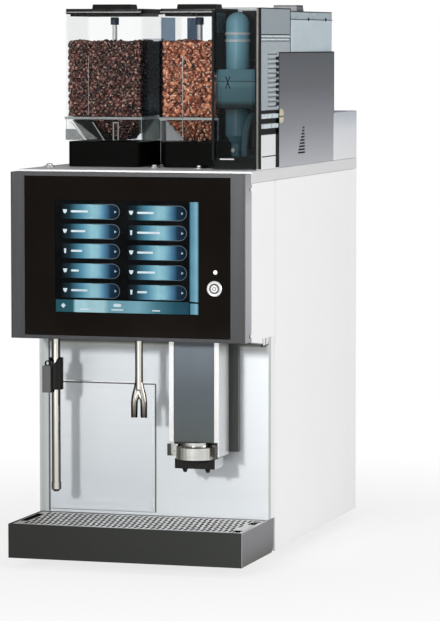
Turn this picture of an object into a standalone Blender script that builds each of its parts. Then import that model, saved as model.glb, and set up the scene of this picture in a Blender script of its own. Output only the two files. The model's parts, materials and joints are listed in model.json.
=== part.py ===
# Countertop bean to cup coffee machine, built as an assembly of separate pieces.
# Metres, +Z up. The front faces -Y and +X is the user's right.
# The origin is on the worktop, under the middle of the machine's footprint.
import math

import bmesh
import bpy
from mathutils import Matrix, Vector

# Whole machine
BODY_WIDTH = 0.350
BODY_DEPTH = 0.650
# One 350th of the width: pieces side by side across the machine keep their share of it
WIDTH_STEP = BODY_WIDTH / 350
FOOT_HEIGHT = 0.015
SHEET = 0.002
GAP = 0.0003
WELD = 0.0006
OVERRUN = 0.006

# Feet
FOOT_RADIUS = 0.018
FOOT_CHAMFER = 0.003
FOOT_SIDE_INSET = 0.065
FRONT_FOOT_SETBACK = 0.115
REAR_FOOT_INSET = 0.060

# Casing
SIDE_HEIGHT = 0.5405
DECK_BAND = 0.0172
SIDE_SETBACK = 0.173
SIDE_RETURN = 0.012
WALL_SETBACK = 0.138
PAN_LIFT = 0.002
PAN_FLANGE = 0.020
RUNNER_INSET = 0.040
RUNNER_WIDTH = 0.050
RUNNER_HEIGHT = 0.008
RUNNER_SETBACK = 0.010
REAR_RECESS = 0.005
VENT_WIDTH = 0.070
VENT_HEIGHT = 0.005
VENT_PITCH = 0.012
VENT_COUNT = 6
VENT_TOP_DROP = 0.040
VENT_SIDE_INSET = 0.050

# Drip tray and grille
TRAY_HEIGHT = 0.0496
TRAY_DEPTH = 0.165
TRAY_WALL = 0.004
TRAY_FLOOR = 0.002
TRAY_BOTTOM_CORNER = 0.008
GRILLE_THICKNESS = 0.003
GRILLE_LEDGE = 0.003
GRILLE_DEPTH = 0.128
SLOT_PITCH = 0.0084
SLOT_WIDTH = 0.0048
SLOT_MARGIN = 0.028
SLOT_COLUMNS = int((BODY_WIDTH - SLOT_MARGIN) / SLOT_PITCH)
SLOT_ROWS = 2
SLOT_BAR = 0.008

# Service panel and grounds container
DOOR_LEFT = 13.8 * WIDTH_STEP
DOOR_RIGHT = 179.0 * WIDTH_STEP
DOOR_BOTTOM = 0.054
DOOR_TOP = 0.2425
DOOR_FOLD = 0.010
BIN_INSET = 0.012
BIN_DEPTH = 0.180
BIN_HEIGHT = 0.140
BIN_WALL = 0.0025
BIN_DRAFT = 0.006

# Head and its hinged control panel
HEAD_BOTTOM = 0.316
HEAD_SETBACK = 0.049
PANEL_SETBACK = 0.0159
PANEL_BACK = 0.047
PANEL_BOTTOM = 0.3166
PANEL_TOP = 0.5551
PROFILE_WIDTH = 0.0215
PANEL_RIM = 0.0053
PANEL_EDGE_ROUND = 0.002
GLASS_THICKNESS = 0.004
WEB_THICKNESS = 0.003
SCREEN_LEFT = 68.0 * WIDTH_STEP
SCREEN_RIGHT = 282.4 * WIDTH_STEP
SCREEN_BOTTOM = 0.3555
SCREEN_TOP = 0.5154
SCREEN_THICKNESS = 0.011
BUTTON_X = 304.9 * WIDTH_STEP
BUTTON_Z = 0.3932
BUTTON_RING_RADIUS = 0.011
BUTTON_RADIUS = 0.0072
BUTTON_PROUD = 0.0012
BUTTON_LENGTH = 0.009
LAMP_X = 306.2 * WIDTH_STEP
LAMP_Z = 0.4164
LAMP_RADIUS = 0.003
HINGE_INSET = 0.003
HINGE_PIN_RADIUS = 0.0012
HINGE_PIN_LENGTH = 0.006
HINGE_EAR_RADIUS = 0.0028
HINGE_EAR_HEIGHT = 0.004
HINGE_EAR_DROP = 0.006
HINGE_NOTCH = 0.009

# Steam wand
WAND_X = 47.6 * WIDTH_STEP
WAND_SETBACK = 0.075
WAND_RADIUS = 0.0065
WAND_BOTTOM = 0.089
WAND_BALL_RADIUS = 0.009
WAND_TIP_RADIUS = 0.0072
WAND_TIP_LENGTH = 0.014
BALL_LEVEL = 0.005
CUP_RADIUS = 0.015
CUP_FLANGE_RADIUS = 0.020
CUP_FLANGE_HEIGHT = 0.0027
CUP_MOUTH_RADIUS = 0.0125
CUP_TOP = 0.004
WAND_WELL_SIDE = 0.0155
WAND_WELL_FRONT = 0.016
GRIP_BOTTOM = 0.238
GRIP_TOP = 0.284
GRIP_WALL = 0.004
GRIP_NOTCH = 0.008
TAB_WIDTH = 0.015
TAB_DEPTH = 0.006
TAB_REACH = 0.0166
TAB_FRONT = 0.0145
TAB_ROUND = 0.002
TAB_BOTTOM = 0.234
TAB_TOP = 0.273

# Hot water spout
SPOUT_X = 178.3 * WIDTH_STEP
SPOUT_SETBACK = 0.062
SPOUT_RADIUS = 0.0057
SPOUT_FORK = 0.243
SPOUT_END = 0.202
SPOUT_SPREAD = 0.0072
SPOUT_TIP_RADIUS = 0.0046
SPOUT_BEND_STEPS = 6
SPOUT_FLANGE_RADIUS = 0.011
SPOUT_FLANGE_HEIGHT = 0.002

# Height adjustable coffee outlet
OUTLET_LEFT = 223.7 * WIDTH_STEP
OUTLET_WIDTH = 0.0747
OUTLET_SETBACK = 0.060
OUTLET_DEPTH = 0.050
OUTLET_LIP = 0.0073
OUTLET_WALL = 0.002
OUTLET_BOTTOM = 0.169
OUTLET_TOP = 0.400
RING_HEIGHT = 0.024
RING_RADIUS = 0.0294
RING_SETBACK = 0.013
RING_WALL = 0.0025
RING_NECK_RADIUS = 0.021
RING_NECK_HEIGHT = 0.005
RING_SHOULDER = 0.002
LUG_LEFT_REACH = 0.042
LUG_RIGHT_REACH = 0.0344
LUG_ROOT = 0.026
LUG_DEPTH = 0.012
LUG_LIFT = 0.0033
LUG_HEIGHT = 0.017
CHEEK_GAP = 0.002
OUTLET_HOLE_RADIUS = 0.008
NOZZLE_BOTTOM = 0.1305
NOZZLE_SIDE = 0.0305
NOZZLE_SETBACK = 0.003
NOZZLE_DEPTH = 0.046
NOZZLE_CORNER = 0.004
NOZZLE_TIP_RADIUS = 0.0048
NOZZLE_TIP_LENGTH = 0.006
NOZZLE_TIP_SPREAD = 0.017
RAIL_SIDE = 0.0092
RAIL_THICKNESS = 0.010
RAIL_BOTTOM = 0.149
RAIL_TONGUE = 0.022
HEAD_OUTLET_GAP = 0.002

# Bean hoppers
HOPPER_SETBACK = 0.156
HOPPER_DEPTH = 0.108
LEFT_HOPPER_X = 35.0 * WIDTH_STEP
LEFT_HOPPER_WIDTH = 118.0 * WIDTH_STEP
RIGHT_HOPPER_X = 180.0 * WIDTH_STEP
RIGHT_HOPPER_WIDTH = 89.0 * WIDTH_STEP
HOPPER_BASE_HEIGHT = 0.0372
HOPPER_NECK_TOP = 0.0713
HOPPER_TOP = 0.2224
HOPPER_INSET = 0.0012
HOPPER_BASE_INSET = 0.003
FUNNEL_MARGIN = 0.004
FUNNEL_FRONT = 0.009
HOPPER_WALL = 0.0025
HOPPER_FLANGE = 0.003
HOPPER_CORNER = 0.006
HOPPER_LID_THICKNESS = 0.0078
KNOB_HEIGHT = 0.0068
KNOB_WIDTH = 0.060
KNOB_DEPTH = 0.034
KNOB_TAPER = 0.001
THROAT_RADIUS = 0.018
THROAT_SHIFT = 0.025
ROD_RADIUS = 0.0036
ROD_LID_GAP = 0.0042
ROD_HEIGHT = HOPPER_TOP - HOPPER_BASE_HEIGHT - ROD_LID_GAP
ROD_CAP_RADIUS = 0.006
ROD_CAP_HEIGHT = 0.011
BEAN_LEVEL = 0.180
BEAN_CROWN = 0.004

# Grinders
GRINDER_RADIUS = 0.043
GRINDER_HEIGHT = 0.070
GRINDER_WALL = 0.006
NECK_RADIUS = 0.0155
NECK_WALL = 0.003
NECK_LENGTH = 0.020
MOTOR_RADIUS = 0.034
MOTOR_HEIGHT = 0.090
BURR_RADIUS = 0.030
BURR_HEIGHT = 0.014
BURR_NOTCHES = 8
BURR_NOTCH_RADIUS = 0.004
BURR_SHAFT_RADIUS = 0.005
BURR_SHAFT_LENGTH = 0.060

# Brew unit under its smoked cover
UNIT_LEFT = 273.0 * WIDTH_STEP
UNIT_SETBACK = 0.105
UNIT_DEPTH = 0.152
UNIT_HEIGHT = 0.2313
COVER_WALL = 0.003
COVER_CORNER = 0.003
UNIT_BASE_HEIGHT = 0.018
SIDE_PLATE_THICKNESS = 0.0062
SIDE_PLATE_SETBACK = 0.097
SIDE_PLATE_INSET = 0.0005
LOUVRE_COUNT = 12
LOUVRE_PITCH = 0.0068
LOUVRE_HEIGHT = 0.0034
LOUVRE_DEPTH = 0.0012
LOUVRE_TOP_DROP = 0.064
LOUVRE_FRONT_INSET = 0.038
LOUVRE_LENGTH = 0.050
CYLINDER_X = 301.0 * WIDTH_STEP
CYLINDER_SETBACK = 0.146
CYLINDER_RADIUS = 0.017
CYLINDER_WALL = 0.002
CYLINDER_TOP = 0.225
COLLAR_LEFT_INSET = 0.0004
COLLAR_WIDTH = 65.6 * WIDTH_STEP
COLLAR_DEPTH = 0.064
COLLAR_BOTTOM = 0.088
COLLAR_TOP = 0.143
COLLAR_CORNER = 0.010
BAND_HEIGHT = 0.0035
BAND_PROUD = 0.0012
BAND_LEVEL = 0.1925
BAND_STEP = 0.010
PISTON_RADIUS = 0.0135
PISTON_HEAD_HEIGHT = 0.016
PISTON_ROD_RADIUS = 0.005
PISTON_FOOT_RADIUS = 0.007
PISTON_TRAVEL = 0.040
SLEEVE_RADIUS = 0.0175
SLEEVE_BOTTOM = 0.048
SLEEVE_NECK_RADIUS = 0.009
SLEEVE_NECK_TOP = 0.036
HOSE_RADIUS = 0.005
HOSE_LEAN = 0.016
HOSE_LOOP_HEIGHT = 0.048
HOSE_LOOP_DEPTH = 0.034
HOSE_X = 333.0 * WIDTH_STEP
HOSE_SETBACK = 0.128

# Powder canister, its cover and the covers behind
REAR_COVER_DEPTH = 0.142
REAR_COVER_SETBACK = BODY_DEPTH - REAR_COVER_DEPTH
CANISTER_SETBACK = 0.266
CANISTER_REAR_GAP = 0.001
CANISTER_DEPTH = REAR_COVER_SETBACK - CANISTER_REAR_GAP - CANISTER_SETBACK
CANISTER_INSET = 0.0024
CANISTER_BOTTOM = 0.020
CANISTER_TOP = 0.2153
CANISTER_WALL = 0.003
CANISTER_CORNER = 0.005
CANISTER_LID_HEIGHT = 0.012
CANISTER_KNOB_LENGTH = 0.038
AUGER_RADIUS = 0.018
AUGER_SHAFT_RADIUS = 0.004
AUGER_TURNS = 4
AUGER_BLADE = 0.0025
AUGER_RISE = 0.026
AUGER_STEPS = 12
CANISTER_OUTLET_RADIUS = 0.007
COVER_SETBACK = 0.194
COVER_GAP = 0.001
COVER_DEPTH = REAR_COVER_SETBACK - COVER_GAP - COVER_SETBACK
COVER_HEIGHT = 0.1663
COVER_SHEET = 0.002
COVER_SLOTS = 9
COVER_SLOT_PITCH = 0.0046
COVER_SLOT_HEIGHT = 0.0025
COVER_SLOT_LENGTH = 0.043
COVER_SLOT_SETBACK = 0.298
COVER_SLOT_BOTTOM = 0.017
COVER_SLOT_SLANT = 0.0032
COVER_SLOT_NARROWING = 0.0039
LATCH_RADIUS = 0.012
LATCH_SETBACK = 0.207
LATCH_LEVEL = 0.075
REAR_COVER_HEIGHT = 0.0743
REAR_COVER_CORNER = 0.004

# Pieces inside the body
BOILER_X = 255.0 * WIDTH_STEP
BOILER_REAR_INSET = 0.210
BOILER_SETBACK = BODY_DEPTH - BOILER_REAR_INSET
BOILER_RADIUS = 0.052
BOILER_HEIGHT = 0.230
BOILER_CROWN = 0.014
PUMP_X = 85.0 * WIDTH_STEP
PUMP_REAR_INSET = 0.195
PUMP_SETBACK = BODY_DEPTH - PUMP_REAR_INSET
PUMP_RADIUS = 0.032
PUMP_LENGTH = 0.120
PUMP_HEAD_RADIUS = 0.024
PUMP_HEAD_LENGTH = 0.045
PUMP_BLOCK = 0.044
CONTROL_WIDTH = 180.0 * WIDTH_STEP
CONTROL_HEIGHT = 0.150
CONTROL_DEPTH = 0.050
CONTROL_BOTTOM = 0.300
INLET_WIDTH = 0.090
INLET_HEIGHT = 0.050
INLET_BOTTOM = 0.060
INLET_X = 110.0 * WIDTH_STEP
SOCKET_WIDTH = 0.026
SOCKET_HEIGHT = 0.018
SOCKET_DEPTH = 0.012
WATER_BORE_RADIUS = 0.007

# Fineness of round shapes
ROUND = 24
FINE_ROUND = 32
CORNER_STEPS = 3
TUBE_SIDES = 12

# Datums worked out from the sizes above
LEFT = -BODY_WIDTH / 2
RIGHT = BODY_WIDTH / 2
FRONT = -BODY_DEPTH / 2
REAR = BODY_DEPTH / 2
BASE = FOOT_HEIGHT
SIDE_TOP = BASE + SIDE_HEIGHT
DECK = SIDE_TOP + DECK_BAND
WALL_Y = FRONT + WALL_SETBACK
SIDE_Y = FRONT + SIDE_SETBACK
HEAD_Z = BASE + HEAD_BOTTOM
HEAD_Y = FRONT + HEAD_SETBACK
INNER_LEFT = LEFT + SHEET + GAP
INNER_RIGHT = RIGHT - SHEET - GAP
REAR_Y = REAR - REAR_RECESS
PAN_TOP = BASE + PAN_LIFT + SHEET


def make_material(name, colour, roughness, metallic, alpha=1.0):
    """Return a plain material for one sub-part."""
    material = bpy.data.materials.new(name)
    material.use_nodes = True
    shader = material.node_tree.nodes["Principled BSDF"]
    shader.inputs["Base Color"].default_value = (*colour, 1.0)
    shader.inputs["Roughness"].default_value = roughness
    shader.inputs["Metallic"].default_value = metallic
    shader.inputs["Alpha"].default_value = alpha
    return material


def mesh_object(name, points, faces):
    """Return an object whose closed mesh faces outwards."""
    mesh = bpy.data.meshes.new(name)
    mesh.from_pydata(points, [], faces)
    shape = bmesh.new()
    shape.from_mesh(mesh)
    bmesh.ops.recalc_face_normals(shape, faces=shape.faces)
    shape.to_mesh(mesh)
    shape.free()
    thing = bpy.data.objects.new(name, mesh)
    bpy.context.scene.collection.objects.link(thing)
    return thing


def place(axis, u, v, along):
    """Turn outline coordinates into a point, for an extrusion along one axis."""
    if axis == "x":
        return (along, u, v)
    if axis == "y":
        return (u, along, v)
    return (u, v, along)


def prism(outline, low, high, axis="z"):
    """Extrude a closed outline between two places on an axis."""
    count = len(outline)
    points = [place(axis, u, v, low) for u, v in outline]
    points += [place(axis, u, v, high) for u, v in outline]
    faces = [tuple(range(count)), tuple(range(count, 2 * count))]
    for i in range(count):
        j = (i + 1) % count
        faces.append((i, j, count + j, count + i))
    return mesh_object("prism", points, faces)


def block(x, y, z):
    """Return a box from its (low, high) pairs on the three axes."""
    return prism([(x[0], y[0]), (x[1], y[0]), (x[1], y[1]), (x[0], y[1])], z[0], z[1])


def loft(low_outline, high_outline, low, high):
    """Return a solid between two outlines that have the same number of points."""
    count = len(low_outline)
    points = [(x, y, low) for x, y in low_outline]
    points += [(x, y, high) for x, y in high_outline]
    faces = [tuple(range(count)), tuple(range(count, 2 * count))]
    for i in range(count):
        j = (i + 1) % count
        faces.append((i, j, count + j, count + i))
    return mesh_object("loft", points, faces)


def rounded(u, v, radius, steps=CORNER_STEPS):
    """Return a rectangle's outline with rounded corners, from (low, high) pairs."""
    outline = []
    corners = [(u[1], v[1], 0), (u[0], v[1], 1), (u[0], v[0], 2), (u[1], v[0], 3)]
    for corner_u, corner_v, quarter in corners:
        centre_u = corner_u - radius if quarter in (0, 3) else corner_u + radius
        centre_v = corner_v - radius if quarter in (0, 1) else corner_v + radius
        for step in range(steps + 1):
            angle = (quarter + step / steps) * math.pi / 2
            outline.append((centre_u + radius * math.cos(angle), centre_v + radius * math.sin(angle)))
    return outline


def turned(profile, centre, axis="z", steps=ROUND):
    """Turn a profile of (radius, height) points about an axis through a centre."""
    rings = []
    points = []
    for radius, height in profile:
        if radius == 0:
            rings.append([len(points)])
            points.append(place(axis, 0, 0, height))
            continue
        rings.append(list(range(len(points), len(points) + steps)))
        for step in range(steps):
            angle = 2 * math.pi * step / steps
            points.append(place(axis, radius * math.cos(angle), radius * math.sin(angle), height))
    pairs = list(zip(rings, rings[1:]))
    if len(rings[0]) > 1:
        pairs.append((rings[-1], rings[0]))
    faces = []
    for lower, upper in pairs:
        for i in range(steps):
            j = (i + 1) % steps
            if len(lower) == 1:
                faces.append((lower[0], upper[j], upper[i]))
            elif len(upper) == 1:
                faces.append((lower[i], lower[j], upper[0]))
            else:
                faces.append((lower[i], lower[j], upper[j], upper[i]))
    moved = [Vector(point) + Vector(centre) for point in points]
    return mesh_object("turned", moved, faces)


def disc(radius, low, high, centre, axis="z", steps=ROUND):
    """Return a plain round bar between two heights measured from the centre."""
    return turned([(0, low), (radius, low), (radius, high), (0, high)], centre, axis, steps)


def tube(points, radius, sides=TUBE_SIDES):
    """Sweep a round section along points and close its ends."""
    path = [Vector(point) for point in points]
    normal = None
    corners = []
    for i, point in enumerate(path):
        before = path[max(i - 1, 0)]
        after = path[min(i + 1, len(path) - 1)]
        direction = (after - before).normalized()
        if normal is None:
            normal = direction.orthogonal().normalized()
        normal = (normal - direction * normal.dot(direction)).normalized()
        other = direction.cross(normal)
        for side in range(sides):
            angle = 2 * math.pi * side / sides
            corners.append(point + radius * (math.cos(angle) * normal + math.sin(angle) * other))
    last = (len(path) - 1) * sides
    faces = [tuple(range(sides)), tuple(range(last, last + sides))]
    for ring in range(len(path) - 1):
        for side in range(sides):
            a = ring * sides + side
            b = ring * sides + (side + 1) % sides
            faces.append((a, b, b + sides, a + sides))
    return mesh_object("tube", corners, faces)


def combine(thing, others, operation):
    """Unite others with a piece, or cut them out of it."""
    for other in others:
        modifier = thing.modifiers.new("combine", "BOOLEAN")
        modifier.operation = operation
        modifier.solver = "EXACT"
        modifier.object = other
        scene_state = bpy.context.evaluated_depsgraph_get()
        mesh = bpy.data.meshes.new_from_object(thing.evaluated_get(scene_state))
        thing.modifiers.clear()
        thing.data = mesh
        bpy.data.objects.remove(other)
    return thing


def unite(thing, *others):
    return combine(thing, others, "UNION")


def cut(thing, *others):
    return combine(thing, others, "DIFFERENCE")


def finish(name, thing, material, origin=None, smooth=False):
    """Name a piece, give it its material and put its origin on its joint axis."""
    mesh = thing.data
    shape = bmesh.new()
    shape.from_mesh(mesh)
    bmesh.ops.dissolve_limit(shape, angle_limit=math.radians(0.1), verts=shape.verts, edges=shape.edges)
    bmesh.ops.triangulate(shape, faces=[face for face in shape.faces if len(face.verts) > 4])
    shape.to_mesh(mesh)
    shape.free()
    thing.name = name
    mesh.name = name
    mesh.materials.clear()
    mesh.materials.append(material)
    if origin is not None:
        mesh.transform(Matrix.Translation(-Vector(origin)))
        thing.location = origin
    if smooth:
        mesh.shade_smooth()
        mesh.set_sharp_from_angle(angle=math.radians(35))
    return thing


def make_feet(rubber):
    """Four low rubber feet: the front pair under the runners, the rear pair under the pan."""
    profile = [(0, 0), (FOOT_RADIUS - FOOT_CHAMFER, 0), (FOOT_RADIUS, FOOT_CHAMFER)]
    top = FOOT_HEIGHT + PAN_LIFT - GAP
    profile += [(FOOT_RADIUS, top), (0, top)]
    for row, y in (("front", FRONT + FRONT_FOOT_SETBACK), ("rear", REAR - REAR_FOOT_INSET)):
        for side, x in (("left", LEFT + FOOT_SIDE_INSET), ("right", RIGHT - FOOT_SIDE_INSET)):
            finish("foot_%s_%s" % (row, side), turned(profile, (x, y, 0)), rubber, smooth=True)


def make_base_pan(metal):
    """Chassis floor with upturned edges and two runners that carry the drip tray."""
    low = BASE + PAN_LIFT
    back = REAR_Y - SHEET - GAP
    start = FRONT + TRAY_DEPTH + GAP
    behind_fold = SIDE_Y + SHEET + GAP
    pan = block((INNER_LEFT, INNER_RIGHT), (behind_fold, back), (low, low + SHEET))
    top = low + PAN_FLANGE
    clear = SIDE_RETURN + GAP
    edges = [block((LEFT + clear, RIGHT - clear), (start, behind_fold + WELD), (low, low + SHEET))]
    edges.append(block((INNER_LEFT, INNER_LEFT + SHEET), (behind_fold, back), (low, top)))
    edges.append(block((INNER_RIGHT - SHEET, INNER_RIGHT), (behind_fold, back), (low, top)))
    for x in (LEFT + RUNNER_INSET, RIGHT - RUNNER_INSET - RUNNER_WIDTH):
        reach = (FRONT + RUNNER_SETBACK, start + PAN_FLANGE)
        edges.append(block((x, x + RUNNER_WIDTH), reach, (low, low + RUNNER_HEIGHT)))
    finish("base_pan", unite(pan, *edges), metal)


def make_side_panel(name, side, metal):
    """Sheet side with its front edge folded inwards."""
    outer = side * BODY_WIDTH / 2
    inner = outer - side * SHEET
    fold = outer - side * SIDE_RETURN
    outline = [(outer, SIDE_Y), (outer, REAR), (inner, REAR), (inner, SIDE_Y + SHEET)]
    outline += [(fold, SIDE_Y + SHEET), (fold, SIDE_Y)]
    finish(name, prism(outline, BASE, SIDE_TOP), metal)


def make_rear_panel(metal):
    """Sheet back between the sides, with ventilation slots and room for the supply connections."""
    panel = block((INNER_LEFT, INNER_RIGHT), (REAR_Y - SHEET, REAR_Y), (BASE, SIDE_TOP - GAP))
    holes = []
    for i in range(VENT_COUNT):
        z = SIDE_TOP - VENT_TOP_DROP - i * VENT_PITCH
        for x in (LEFT + VENT_SIDE_INSET, RIGHT - VENT_SIDE_INSET - VENT_WIDTH):
            holes.append(block((x, x + VENT_WIDTH), (REAR_Y - OVERRUN, REAR_Y + OVERRUN), (z - VENT_HEIGHT, z)))
    x, z = LEFT + INLET_X, BASE + INLET_BOTTOM
    inner = (x + INLET_HEIGHT / 4, x + INLET_WIDTH - INLET_HEIGHT / 4)
    opening = (z + INLET_HEIGHT / 4, z + INLET_HEIGHT * 3 / 4)
    holes.append(block(inner, (REAR_Y - OVERRUN, REAR_Y + OVERRUN), opening))
    finish("rear_panel", cut(panel, *holes), metal)


def make_connections(plastic):
    """Supply plate on the back: a plain three-pole style socket recess and a water inlet bore."""
    x, z = LEFT + INLET_X, BASE + INLET_BOTTOM
    face = REAR_Y + REAR_RECESS
    plate = prism(rounded((x, x + INLET_WIDTH), (z, z + INLET_HEIGHT), WATER_BORE_RADIUS),
                  REAR_Y + GAP, face, "y")
    inner = (x + INLET_HEIGHT / 4 + GAP, x + INLET_WIDTH - INLET_HEIGHT / 4 - GAP)
    opening = (z + INLET_HEIGHT / 4 + GAP, z + INLET_HEIGHT * 3 / 4 - GAP)
    body = block(inner, (face - SOCKET_DEPTH - SHEET, REAR_Y + GAP + WELD), opening)
    middle = z + INLET_HEIGHT / 2
    socket_x = x + INLET_WIDTH / 3
    socket = block((socket_x - SOCKET_WIDTH / 2, socket_x + SOCKET_WIDTH / 2),
                   (face - SOCKET_DEPTH, face + OVERRUN),
                   (middle - SOCKET_HEIGHT / 2, middle + SOCKET_HEIGHT / 2))
    water = disc(WATER_BORE_RADIUS, -SOCKET_DEPTH, OVERRUN,
                 (x + INLET_WIDTH * 3 / 4, face, middle), "y")
    finish("rear_connections", cut(unite(plate, body), socket, water), plastic)


def make_top_deck(metal):
    """Folded lid of the body; the hoppers, brew unit and canister stand on it."""
    front = HEAD_Y
    deck = block((LEFT, RIGHT), (front, REAR), (SIDE_TOP + GAP, DECK))
    hollow = block((LEFT + SHEET, RIGHT - SHEET), (front + SHEET, REAR - SHEET),
                   (SIDE_TOP - OVERRUN, DECK - SHEET))
    holes = []
    for x in hopper_centres():
        centre = (x, throat_y(), DECK)
        holes.append(disc(NECK_RADIUS + GAP, -OVERRUN, OVERRUN, centre))
    centre = (LEFT + CYLINDER_X, FRONT + CYLINDER_SETBACK, DECK)
    holes.append(disc(PISTON_RADIUS, -OVERRUN, OVERRUN, centre))
    finish("top_deck", cut(deck, hollow, *holes), metal)


def make_front_wall(metal):
    """Stainless wall of the cup space, folded back at its sides, with the service opening and its shelf."""
    low = BASE + TRAY_HEIGHT + GAP
    outline = [(LEFT, WALL_Y), (RIGHT, WALL_Y), (RIGHT, SIDE_Y - GAP), (RIGHT - SHEET, SIDE_Y - GAP)]
    outline += [(RIGHT - SHEET, WALL_Y + SHEET), (LEFT + SHEET, WALL_Y + SHEET)]
    outline += [(LEFT + SHEET, SIDE_Y - GAP), (LEFT, SIDE_Y - GAP)]
    wall = prism(outline, low, HEAD_Z - GAP)
    upper = block((INNER_LEFT, INNER_RIGHT), (WALL_Y, WALL_Y + SHEET), (HEAD_Z - GAP - WELD, SIDE_TOP - GAP))
    floor = BASE + DOOR_BOTTOM
    shelf = block((LEFT + DOOR_LEFT, LEFT + DOOR_RIGHT), (WALL_Y, WALL_Y + BIN_DEPTH + BIN_INSET),
                  (floor - SHEET, floor))
    opening = block((LEFT + DOOR_LEFT, LEFT + DOOR_RIGHT), (WALL_Y - OVERRUN, WALL_Y + OVERRUN),
                    (floor, BASE + DOOR_TOP))
    finish("front_wall", unite(cut(unite(wall, upper), opening), shelf), metal)


def make_service_door(metal):
    """Lift-out stainless panel in front of the grounds container, with folded edges."""
    x = (LEFT + DOOR_LEFT + GAP, LEFT + DOOR_RIGHT - GAP)
    z = (BASE + DOOR_BOTTOM + GAP, BASE + DOOR_TOP - GAP)
    door = block(x, (WALL_Y, WALL_Y + DOOR_FOLD), z)
    hollow = block((x[0] + SHEET, x[1] - SHEET), (WALL_Y + SHEET, WALL_Y + DOOR_FOLD + OVERRUN),
                   (z[0] + SHEET, z[1] - SHEET))
    finish("service_door", cut(door, hollow), metal)


def make_grounds_container(plastic):
    """Open bin for the used coffee cakes, standing on the shelf behind the service panel."""
    x = (LEFT + DOOR_LEFT + BIN_INSET, LEFT + DOOR_RIGHT - BIN_INSET)
    y = (WALL_Y + DOOR_FOLD + GAP, WALL_Y + BIN_DEPTH)
    low = BASE + DOOR_BOTTOM + GAP
    high = low + BIN_HEIGHT
    foot = rounded((x[0] + BIN_DRAFT, x[1] - BIN_DRAFT), (y[0] + BIN_DRAFT, y[1] - BIN_DRAFT), BIN_INSET)
    body = loft(foot, rounded(x, y, BIN_INSET), low, high)
    wall = BIN_WALL
    inner = loft(rounded((x[0] + BIN_DRAFT + wall, x[1] - BIN_DRAFT - wall),
                         (y[0] + BIN_DRAFT + wall, y[1] - BIN_DRAFT - wall), BIN_INSET - wall),
                 rounded((x[0] + wall, x[1] - wall), (y[0] + wall, y[1] - wall), BIN_INSET - wall),
                 low + wall, high + WELD)
    finish("grounds_container", cut(body, inner), plastic)


def hinge_axis():
    return (RIGHT - HINGE_INSET, FRONT + PANEL_BACK - HINGE_INSET)


def make_head_housing(metal):
    """Shell behind the control panel, open above and behind, with two hinge ears."""
    back = SIDE_Y - GAP
    high = SIDE_TOP
    shell = block((LEFT, RIGHT), (HEAD_Y, back), (HEAD_Z, high))
    hollow = block((LEFT + SHEET, RIGHT - SHEET), (HEAD_Y + SHEET, back + OVERRUN),
                   (HEAD_Z + SHEET, high + OVERRUN))
    behind = block((LEFT + SHEET, RIGHT - SHEET), (WALL_Y - GAP, back + OVERRUN),
                   (HEAD_Z - OVERRUN, HEAD_Z + SHEET + WELD))
    outlet = (LEFT + OUTLET_LEFT - RAIL_SIDE - HEAD_OUTLET_GAP,
              LEFT + OUTLET_LEFT + OUTLET_WIDTH + RAIL_SIDE + HEAD_OUTLET_GAP)
    well = block(outlet, (FRONT + OUTLET_SETBACK - HEAD_OUTLET_GAP, WALL_Y),
                 (HEAD_Z - OVERRUN, HEAD_Z + OVERRUN))
    wand_x, wand_y = LEFT + WAND_X, FRONT + WAND_SETBACK
    wand_well = block((wand_x - WAND_WELL_SIDE, wand_x + WAND_WELL_SIDE), (wand_y - WAND_WELL_FRONT, WALL_Y),
                      (HEAD_Z - OVERRUN, HEAD_Z + OVERRUN))
    shell = cut(shell, hollow, behind, well, wand_well)
    x, y = hinge_axis()
    low = BASE + PANEL_BOTTOM + HINGE_EAR_DROP
    top = BASE + PANEL_TOP - HINGE_EAR_DROP - HINGE_EAR_HEIGHT - (BASE + PANEL_TOP - high)
    parts = []
    for bottom, pin_low in ((low, low), (top, top - HINGE_PIN_LENGTH)):
        parts.append(disc(HINGE_EAR_RADIUS, 0, HINGE_EAR_HEIGHT, (x, y, bottom)))
        parts.append(block((x - HINGE_EAR_RADIUS, x + HINGE_EAR_RADIUS), (y, HEAD_Y + WELD),
                           (bottom, bottom + HINGE_EAR_HEIGHT)))
        pin_height = HINGE_EAR_HEIGHT + HINGE_PIN_LENGTH
        parts.append(disc(HINGE_PIN_RADIUS, 0, pin_height, (x, y, pin_low), steps=TUBE_SIDES))
    finish("head_housing", unite(shell, *parts), metal)


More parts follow.
